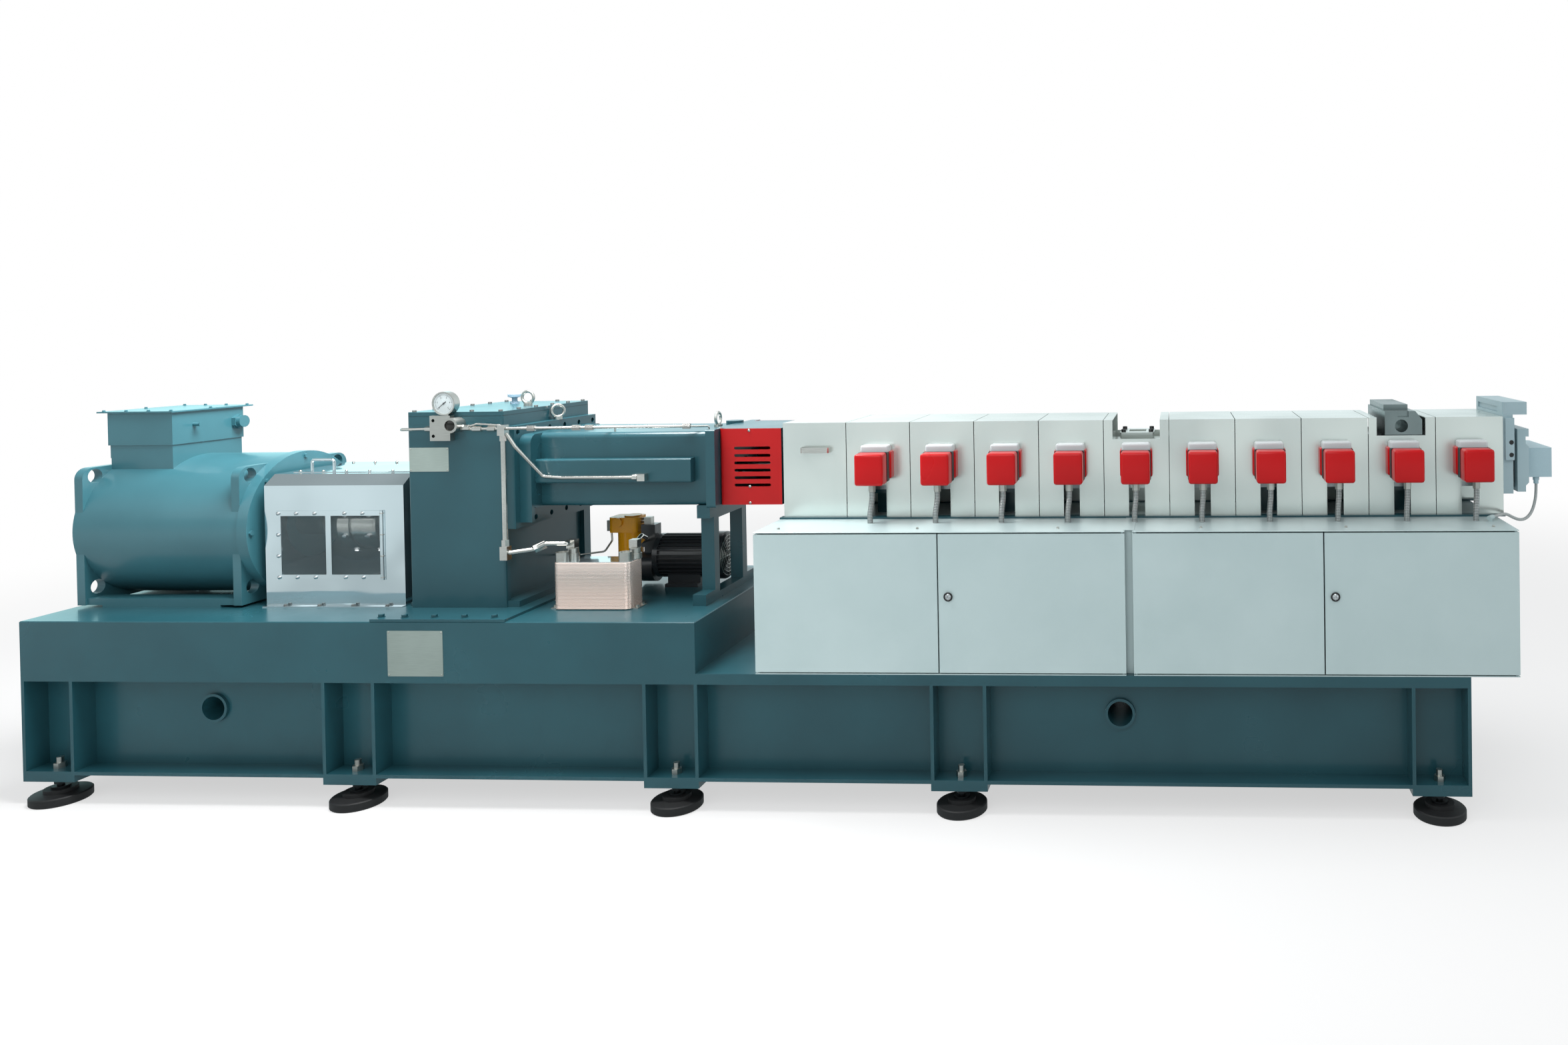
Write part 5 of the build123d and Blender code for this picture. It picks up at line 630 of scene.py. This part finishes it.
# Cabinets: the folded strip that closes the joint between their tops
def dress_cabinet_joint():
    """A strip over the joint, from 20 mm behind the fronts to 5 mm before the backs."""
    joint = 1.353
    back, front = high("cabinet_left").y - 5 * MM, low("cabinet_left").y + 20 * MM
    fit(plate(42 * MM, back - front, 1.5 * MM, 2 * MM), [((joint, (back + front) / 2, CABINET_TOP), UP)],
        "cabinet_joint_strip", cabinet_coat)


def bare_plate(name, centre, width, height):
    """An aluminium data plate with nothing on it, held by four rivets."""
    thickness, corner, inset = 1.2 * MM, 3 * MM, 6 * MM
    fit(plate(width, height, thickness, corner), [(centre, FRONT)], name, plate_aluminium)
    across, up = width / 2 - inset, height / 2 - inset
    spots = [((centre[0] + side * across, centre[1] - thickness, centre[2] + end * up), FRONT)
             for side in (-1, 1) for end in (-1, 1)]
    fit(dome_screw(3.2 * MM, 2 * MM), spots, name + "_rivets", zinc)


# Gearbox: cap screws round the top cover, a bare data plate on its front and bolts round the sole plate
def dress_gearbox():
    """The housing stands 42 mm and 104 mm inside the sole plate's ends, and is twice half deep."""
    sole_low, sole_high = low("gearbox_sole_plate"), high("gearbox_sole_plate")
    left, right, half = sole_low.x + 42 * MM, sole_high.x - 104 * MM, 314 * MM
    top, edge = high("gearbox_housing").z, 18 * MM
    ends, sides = (left + edge, right - edge), (-half + edge, half - edge)
    spots = [((x, y, top), UP) for x in along(*ends, 4) for y in sides]
    spots += [((x, y, top), UP) for y in along(*sides, 6)[1:5] for x in ends]
    fit(socket_screw(8 * MM, 7 * MM), spots, "gearbox_cover_screws", dark_zinc)

    plate_middle = (left + 88 * MM, -half, 1.328)
    bare_plate("gearbox_data_plate", plate_middle, 164 * MM, 96 * MM)

    sole_top, row_end, row_side = sole_high.z, 0.450, 0.455
    spots = [((sole_low.x + 22 * MM, y, sole_top), UP) for y in along(-row_end, row_end, 6)]
    spots += [((x, y, sole_top), UP) for x in along(sole_low.x + 120 * MM, sole_high.x - 60 * MM, 4)
              for y in (-row_side, row_side)]
    fit(hex_screw(11 * MM, 12 * MM), spots, "gearbox_foot_bolts", teal)


# Pressure gauge: white dial with plain numbers, a needle and a clear glass
def dress_pressure_gauge():
    """All of it stands in the open rim of the solid; angles run clockwise from the top of the dial."""
    gauge_low, gauge_high = low("pressure_gauge"), high("pressure_gauge")
    centre_x = (gauge_low.x + gauge_high.x) / 2
    centre_z = gauge_high.z - 47 * MM
    front = gauge_low.y
    face = front + 3.6 * MM
    dial = disc(41.5 * MM, 0.6 * MM, sides=48, rim=0.15 * MM)
    fit(dial, [((centre_x, face + 0.4 * MM, centre_z), FRONT)], "gauge_dial", dial_white)

    # Fifty steps with a long mark at each number from 0 to 5
    start, sweep = math.radians(-135), math.radians(270)
    steps, numbers, relief = 50, 5, 0.3 * MM
    mark_end, number_ring = 36 * MM, 25 * MM
    marks = []
    for step in range(steps + 1):
        long = step % (steps // numbers) == 0
        width, length = (1.4 if long else 0.7) * MM, (6 if long else 3) * MM
        deselect()
        bpy.ops.mesh.primitive_cube_add(size=1)
        mark = bpy.context.object
        mark.data.transform(Matrix.Diagonal((width, relief, length, 1)))
        mark.data.transform(Matrix.Translation((0, 0, mark_end - length / 2)))
        mark.data.transform(Matrix.Rotation(start + sweep * step / steps, 4, "Y"))
        mark.data.transform(Matrix.Translation((centre_x, face - relief, centre_z)))
        marks.append(mark)
    for number in range(numbers + 1):
        angle = start + sweep * number / numbers
        deselect()
        bpy.ops.object.text_add()
        text = bpy.context.object
        text.data.body = str(number)
        text.data.size = 10 * MM
        text.data.align_x = text.data.align_y = "CENTER"
        text.data.extrude = relief / 2
        bpy.ops.object.convert(target="MESH")
        text = bpy.context.object
        text.data.transform(Matrix.Rotation(math.radians(90), 4, "X"))
        text.data.transform(Matrix.Translation((centre_x + number_ring * math.sin(angle), face - relief,
                                                centre_z + number_ring * math.cos(angle))))
        marks.append(text)
    # The needle narrows to its tip, rests near 0 and reaches 12 mm behind its hub
    needle = disc(1.9 * MM, 44 * MM, sides=8)
    edit(needle)
    pick_top(needle)
    bpy.ops.transform.resize(value=(0.3, 0.3, 1))
    leave()
    needle.data.transform(Matrix.Translation((0, 0, -12 * MM)))
    needle.data.transform(Matrix.Rotation(math.radians(-128), 4, "Y"))
    needle.data.transform(Matrix.Translation((centre_x, face - 1.2 * MM, centre_z)))
    marks.append(needle)
    marks.append(copies(disc(4 * MM, 1.8 * MM, sides=20, rim=0.4 * MM), [((centre_x, face, centre_z), FRONT)]))
    dress(join(marks), "gauge_marks_and_needle", dial_black)

    glass = disc(41.8 * MM, 1.0 * MM, sides=48, rim=0.3 * MM)
    fit(glass, [((centre_x, front + 1.4 * MM, centre_z), FRONT)], "gauge_glass", gauge_glass)


# Manifold: the dark sight glass in its round head
def dress_manifold():
    """The glass lies at the bottom of the head's recess, whose axis is given in metres."""
    head_x, head_z, depth = -1.325, 1.468, 6 * MM
    centre = (head_x, low("oil_manifold").y + depth, head_z)
    fit(disc(20.6 * MM, 2.0 * MM, sides=32, rim=0.8 * MM), [(centre, FRONT)], "oil_sight_glass", dark_oil)


# Heaters: rounded red caps, the board between them and the white collar on top
def dress_heaters():
    """One heater from the hood's wall to the front, copied to the ten stations; heights are in metres."""
    half = 60 * MM
    stations = along(low("heater_plates").x + half, high("heater_plates").x - half, 10)
    wall = high("heater_boxes").y
    rear, board, cap = 48 * MM, 32 * MM, 66 * MM
    cap_bottom, rear_bottom, board_middle, top = 1.213, 1.228, 1.279, 1.338
    cap_size, rear_size = (112 * MM, cap, top - cap_bottom), (128 * MM, rear, top - rear_bottom)
    board_size, collar_size = (116 * MM, board, 116 * MM), (112 * MM, 56 * MM, 30 * MM)

    def row(piece, name, material, node):
        """The piece at every station, in place of a CAD node."""
        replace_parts(fit(piece, [((x, 0, 0), UP) for x in stations], name, material), node)

    def not_the_back(at):
        """Every edge but those of the rear face."""
        return at.y < 0.4

    front_cap = rounded_box(cap_size, (0, wall - rear - board - cap / 2, (top + cap_bottom) / 2), 11 * MM,
                            not_the_back)
    rear_cap = rounded_box(rear_size, (0, wall - rear / 2, (top + rear_bottom) / 2), 9 * MM, not_the_back)
    row(join([front_cap, rear_cap]), "heater_caps", heater_red, "heater_boxes")

    spacer = rounded_box(board_size, (0, wall - rear - board / 2, board_middle), 4 * MM,
                         lambda at: abs(at.y) < 0.4)
    row(spacer, "heater_boards", dark_plate, "heater_plates")

    collar = rounded_box(collar_size, (0, wall - 30 * MM, top + 10 * MM), 9 * MM, lambda at: at.z > -0.4)
    edit(collar)
    pick_top(collar, 0.99)
    bpy.ops.mesh.inset(thickness=3 * MM, depth=-2 * MM)
    leave()
    row(collar, "heater_collars", ceramic, "heater_brackets")


# Cabinet locks: black ring, chromed barrel and key slot, one on each second door
def dress_locks():
    """The lock's middle is 37 mm inside the door's edge, at a height in metres."""
    inset, height = 37 * MM, 0.821
    for door, name in (("door_2", "left"), ("door_4", "right")):
        at = (low(door).x + inset, low(door).y, height)
        deselect()
        bpy.ops.mesh.primitive_torus_add(major_radius=14.0 * MM, minor_radius=3.4 * MM, major_segments=36,
                                         minor_segments=12)
        ring = bpy.context.object
        edit(ring)
        bpy.ops.mesh.select_all(action="SELECT")
        bpy.ops.transform.resize(value=(1, 1, 0.85))
        leave()
        fit(ring, [(at, FRONT)], "lock_ring_" + name, black_plastic, door)

        barrel = disc(11.8 * MM, 1.2 * MM, sides=32, rim=0.4 * MM)
        edit(barrel)
        pick_top(barrel)
        bpy.ops.mesh.inset(thickness=5.5 * MM, depth=0)
        bpy.ops.transform.resize(value=(0.35, 1.0, 1))
        bpy.ops.mesh.inset(thickness=0.2 * MM, depth=-1.0 * MM)
        leave()
        fit(barrel, [(at, FRONT)], "lock_barrel_" + name, chrome, door)


# Cabinet tops, feed flange, die pad, lantern and terminal box: their screws
def dress_fasteners():
    """Rows that follow the edges of what they hold; fixed places are in metres."""
    row_y, columns = -0.420, (0.009, 0.547, 1.084, 1.622, 2.160, 2.698)
    spots = [((x, row_y, CABINET_TOP), UP) for x in columns]
    fit(hex_screw(5 * MM, 6 * MM), spots, "cabinet_top_screws", zinc)

    flange_low, flange_high = low("feed_flange"), high("feed_flange")
    centre = (flange_low + flange_high) / 2
    spots = [((centre.x + side * 56 * MM, centre.y + end * 62 * MM, flange_high.z), UP)
             for side in (-1, 1) for end in (-1, 1)]
    fit(socket_screw(9.5 * MM, 11 * MM), spots, "feed_flange_screws", black_oxide)

    # The pad's screws stand 4 mm deep in their bores
    pad_x, pad_y, levels = 2.8345, low("die_adapter").y + 4 * MM, (1.300, 1.349)
    spots = [((pad_x, pad_y, z), FRONT) for z in levels]
    fit(socket_screw(8.4 * MM, 3 * MM), spots, "die_pad_screws", black_oxide)

    guard_low, guard_high = low("lantern_guards"), high("lantern_guards")
    middle, edge, lower_row = (guard_low.x + guard_high.x) / 2 - 4 * MM, 8 * MM, 74 * MM
    spots = []
    for z in (guard_high.z - edge, guard_low.z + lower_row, guard_low.z + edge):
        spots += [((middle, guard_low.y, z), FRONT), ((middle, guard_high.y, z), BACK)]
    fit(dome_screw(5.5 * MM, 4 * MM), spots, "lantern_guard_screws", zinc)

    lid_low, lid_high = low("terminal_box"), high("terminal_box")
    ends = (lid_low.x + 20 * MM, lid_high.x - 40 * MM)
    spots = [((x, y, lid_high.z), UP) for x in along(*ends, 4)
             for y in (lid_low.y + 12 * MM, lid_high.y - 14 * MM)]
    spots += [((x, (lid_low.y + lid_high.y) / 2, lid_high.z), UP) for x in ends]
    fit(hex_screw(5.5 * MM, 6 * MM), spots, "terminal_lid_screws", motor_teal)


# Pump motor: the wire grille on the end of the fan cover
def dress_fan_cover():
    """Wire rings on eight spokes, round the motor's axis, which is given in metres."""
    axis_y, axis_z = 0.150, 0.845
    wire, spokes = 1.6 * MM, 8
    wires = []
    for radius in (24, 40, 56, 72, 88):
        deselect()
        bpy.ops.mesh.primitive_torus_add(major_radius=radius * MM, minor_radius=wire, major_segments=40,
                                         minor_segments=8)
        wires.append(bpy.context.object)
    for spoke in range(spokes):
        bar = disc(wire, 92 * MM, sides=8)
        bar.data.transform(Matrix.Rotation(math.radians(90), 4, "X"))
        bar.data.transform(Matrix.Rotation(2 * math.pi * spoke / spokes, 4, "Z"))
        wires.append(bar)
    centre = (high("pump_fan_cover").x + 1.0 * MM, axis_y, axis_z)
    fit(join(wires), [(centre, RIGHT)], "pump_fan_grille", zinc)


# Exchanger: the bright pressed sheet that closes the stack on top
def dress_exchanger():
    """A sheet 3 mm inside the plates' edge all round."""
    stack_low, stack_high = low("exchanger_plates"), high("exchanger_plates")
    centre = ((stack_low.x + stack_high.x) / 2, (stack_low.y + stack_high.y) / 2, stack_high.z)
    size = stack_high - stack_low
    sheet = plate(size.x - 6 * MM, size.y - 6 * MM, 2 * MM, 22 * MM)
    fit(sheet, [(centre, UP)], "exchanger_top_sheet", mirror_sheet)


# Middle of the bare plate on the plinth's front, in metres
PLINTH_PLATE = (-1.401, -0.485, 0.601)

dress_coupling_guard()
dress_coupling()
dress_cabinet_joint()
dress_gearbox()
bare_plate("machine_data_plate", PLINTH_PLATE, 222 * MM, 176 * MM)
dress_pressure_gauge()
dress_manifold()
dress_heaters()
dress_locks()
dress_fasteners()
dress_fan_cover()
dress_exchanger()


# Floor, surround and lamps
def make_floor():
    """A pale floor that goes white away from the object, keeps its shadow, and shows in what is glossy."""
    deselect()
    bpy.ops.mesh.primitive_plane_add(size=60, location=(0, 0, 0))
    floor = bpy.context.object
    floor.name = "floor"
    material = bpy.data.materials.new("pale_floor")
    material.use_nodes = True
    tree = material.node_tree
    tree.nodes.clear()
    matt = add(tree, "ShaderNodeBsdfDiffuse", {"Color": linear("#e7e7e7")})
    glow = add(tree, "ShaderNodeEmission", {"Color": linear("#ffffff"), "Strength": 1.0})
    path = add(tree, "ShaderNodeLightPath")
    spot = add(tree, "ShaderNodeTexCoord")
    reach = add(tree, "ShaderNodeVectorMath", {0: (spot, "Object")}, operation="LENGTH")
    fade = add(tree, "ShaderNodeMapRange", {"Value": (reach, "Value"), "From Min": 3.5, "From Max": 9.0,
                                            "To Min": 0.60, "To Max": 1.0}, interpolation_type="SMOOTHSTEP")
    share = add(tree, "ShaderNodeMath", {0: (path, "Is Camera Ray"), 1: (fade, "Result")}, operation="MULTIPLY")
    rise = add(tree, "ShaderNodeMapRange", {"Value": (reach, "Value"), "From Min": 3.5, "From Max": 8.5,
                                            "To Min": 0.50, "To Max": 0.92}, interpolation_type="SMOOTHSTEP")
    mirrored = add(tree, "ShaderNodeEmission", {"Color": linear("#f3fdff"), "Strength": (rise, "Result")})
    seen = add(tree, "ShaderNodeMixShader", {0: (share, "Value"), 1: (matt, "BSDF"), 2: (glow, "Emission")})
    mix = add(tree, "ShaderNodeMixShader", {0: (path, "Is Glossy Ray"), 1: (seen, "Shader"),
                                            2: (mirrored, "Emission")})
    output = add(tree, "ShaderNodeOutputMaterial", {"Surface": (mix, "Shader")})
    output.is_active_output = True
    floor.data.materials.append(material)


def make_surround():
    """White to the camera, soft light to the object, and a plain room with a window to what is glossy."""
    world = bpy.data.worlds.new("studio")
    bpy.context.scene.world = world
    world.use_nodes = True
    tree = world.node_tree
    tree.nodes.clear()
    aim = add(tree, "ShaderNodeTexCoord")
    parts = add(tree, "ShaderNodeSeparateXYZ", {"Vector": (aim, "Generated")})
    # The room's walls: darker in front and overhead, and a little uneven
    depth = add(tree, "ShaderNodeMapRange", {"Value": (parts, "Y"), "From Min": -0.9, "From Max": 0.3,
                                             "To Min": 0.50, "To Max": 1.0}, interpolation_type="SMOOTHSTEP")
    roof = add(tree, "ShaderNodeMapRange", {"Value": (parts, "Z"), "From Min": 0.40, "From Max": 0.75,
                                            "To Min": 1.0, "To Max": 0.35}, interpolation_type="SMOOTHSTEP")
    noise = add(tree, "ShaderNodeTexNoise", {"Vector": (aim, "Generated"), "Scale": 3.0, "Detail": 1.0})
    uneven = add(tree, "ShaderNodeMapRange", {"Value": (noise, "Fac"), "From Min": 0.3, "From Max": 0.7,
                                              "To Min": 0.85, "To Max": 1.1})
    shaded = add(tree, "ShaderNodeMath", {0: (depth, "Result"), 1: (roof, "Result")}, operation="MULTIPLY")
    walls = add(tree, "ShaderNodeMath", {0: (shaded, "Value"), 1: (uneven, "Result")}, operation="MULTIPLY")
    # The window: at the left end, behind, and not overhead
    beside = add(tree, "ShaderNodeMapRange", {"Value": (parts, "X"), "From Min": -0.60, "From Max": -0.35,
                                              "To Min": 1.0, "To Max": 0.0}, interpolation_type="SMOOTHSTEP")
    behind = add(tree, "ShaderNodeMapRange", {"Value": (parts, "Y"), "From Min": -0.1, "From Max": 0.3},
                 interpolation_type="SMOOTHSTEP")
    lower = add(tree, "ShaderNodeMapRange", {"Value": (parts, "Z"), "From Min": 0.35, "From Max": 0.6,
                                             "To Min": 1.0, "To Max": 0.0}, interpolation_type="SMOOTHSTEP")
    side = add(tree, "ShaderNodeMath", {0: (beside, "Result"), 1: (behind, "Result")}, operation="MULTIPLY")
    window = add(tree, "ShaderNodeMath", {0: (side, "Value"), 1: (lower, "Result")}, operation="MULTIPLY")
    lit = add(tree, "ShaderNodeMath", {0: (window, "Value"), 1: 0.5, 2: (walls, "Value")},
              operation="MULTIPLY_ADD")
    tint = add(tree, "ShaderNodeMix", {0: (window, "Value"), 6: linear("#effcff"), 7: linear("#cefdff")},
               data_type="RGBA")
    soft = add(tree, "ShaderNodeBackground", {"Color": linear("#f7fcff"), "Strength": 0.42})
    mirrored = add(tree, "ShaderNodeBackground", {"Color": (tint, 2), "Strength": (lit, "Value")})
    white = add(tree, "ShaderNodeBackground", {"Color": linear("#ffffff"), "Strength": 1.0})
    path = add(tree, "ShaderNodeLightPath")
    gloss = add(tree, "ShaderNodeMixShader", {0: (path, "Is Glossy Ray"), 1: (soft, "Background"),
                                              2: (mirrored, "Background")})
    seen = add(tree, "ShaderNodeMath", {0: (path, "Is Camera Ray"), 1: (path, "Is Transmission Ray")},
               operation="MAXIMUM")
    mix = add(tree, "ShaderNodeMixShader", {0: (seen, "Value"), 1: (gloss, "Shader"), 2: (white, "Background")})
    add(tree, "ShaderNodeOutputWorld", {"Surface": (mix, "Shader")})


# Each lamp: its place, what it looks at, its size in metres and its power in watts
LAMPS = [
    ((0.0, -6.0, 5.0), (-0.6, 0.0, 0.8), 5.0, 155),
    ((-5.0, -5.0, 4.0), (-1.8, 0.0, 0.8), 4.0, 45),
    ((6.0, -2.0, 4.0), (1.5, 0.0, 1.0), 3.0, 60),
    ((0.8, 0.5, 5.5), (0.8, 0.0, 1.0), 5.0, 125),
    ((-1.2, -0.3, 3.6), (-2.5, 0.0, 1.1), 1.6, 230),
]


def make_lamps():
    """Soft boxes over the front, the left end, the right end, the hoods and the drive."""
    for index, (at, target, size, power) in enumerate(LAMPS):
        data = bpy.data.lights.new("softbox_%d" % index, "AREA")
        data.size = size
        data.energy = power
        lamp = bpy.data.objects.new("softbox_%d" % index, data)
        bpy.context.scene.collection.objects.link(lamp)
        lamp.location = at
        lamp.rotation_euler = (Vector(target) - Vector(at)).to_track_quat("-Z", "Y").to_euler()


make_floor()
make_surround()
make_lamps()
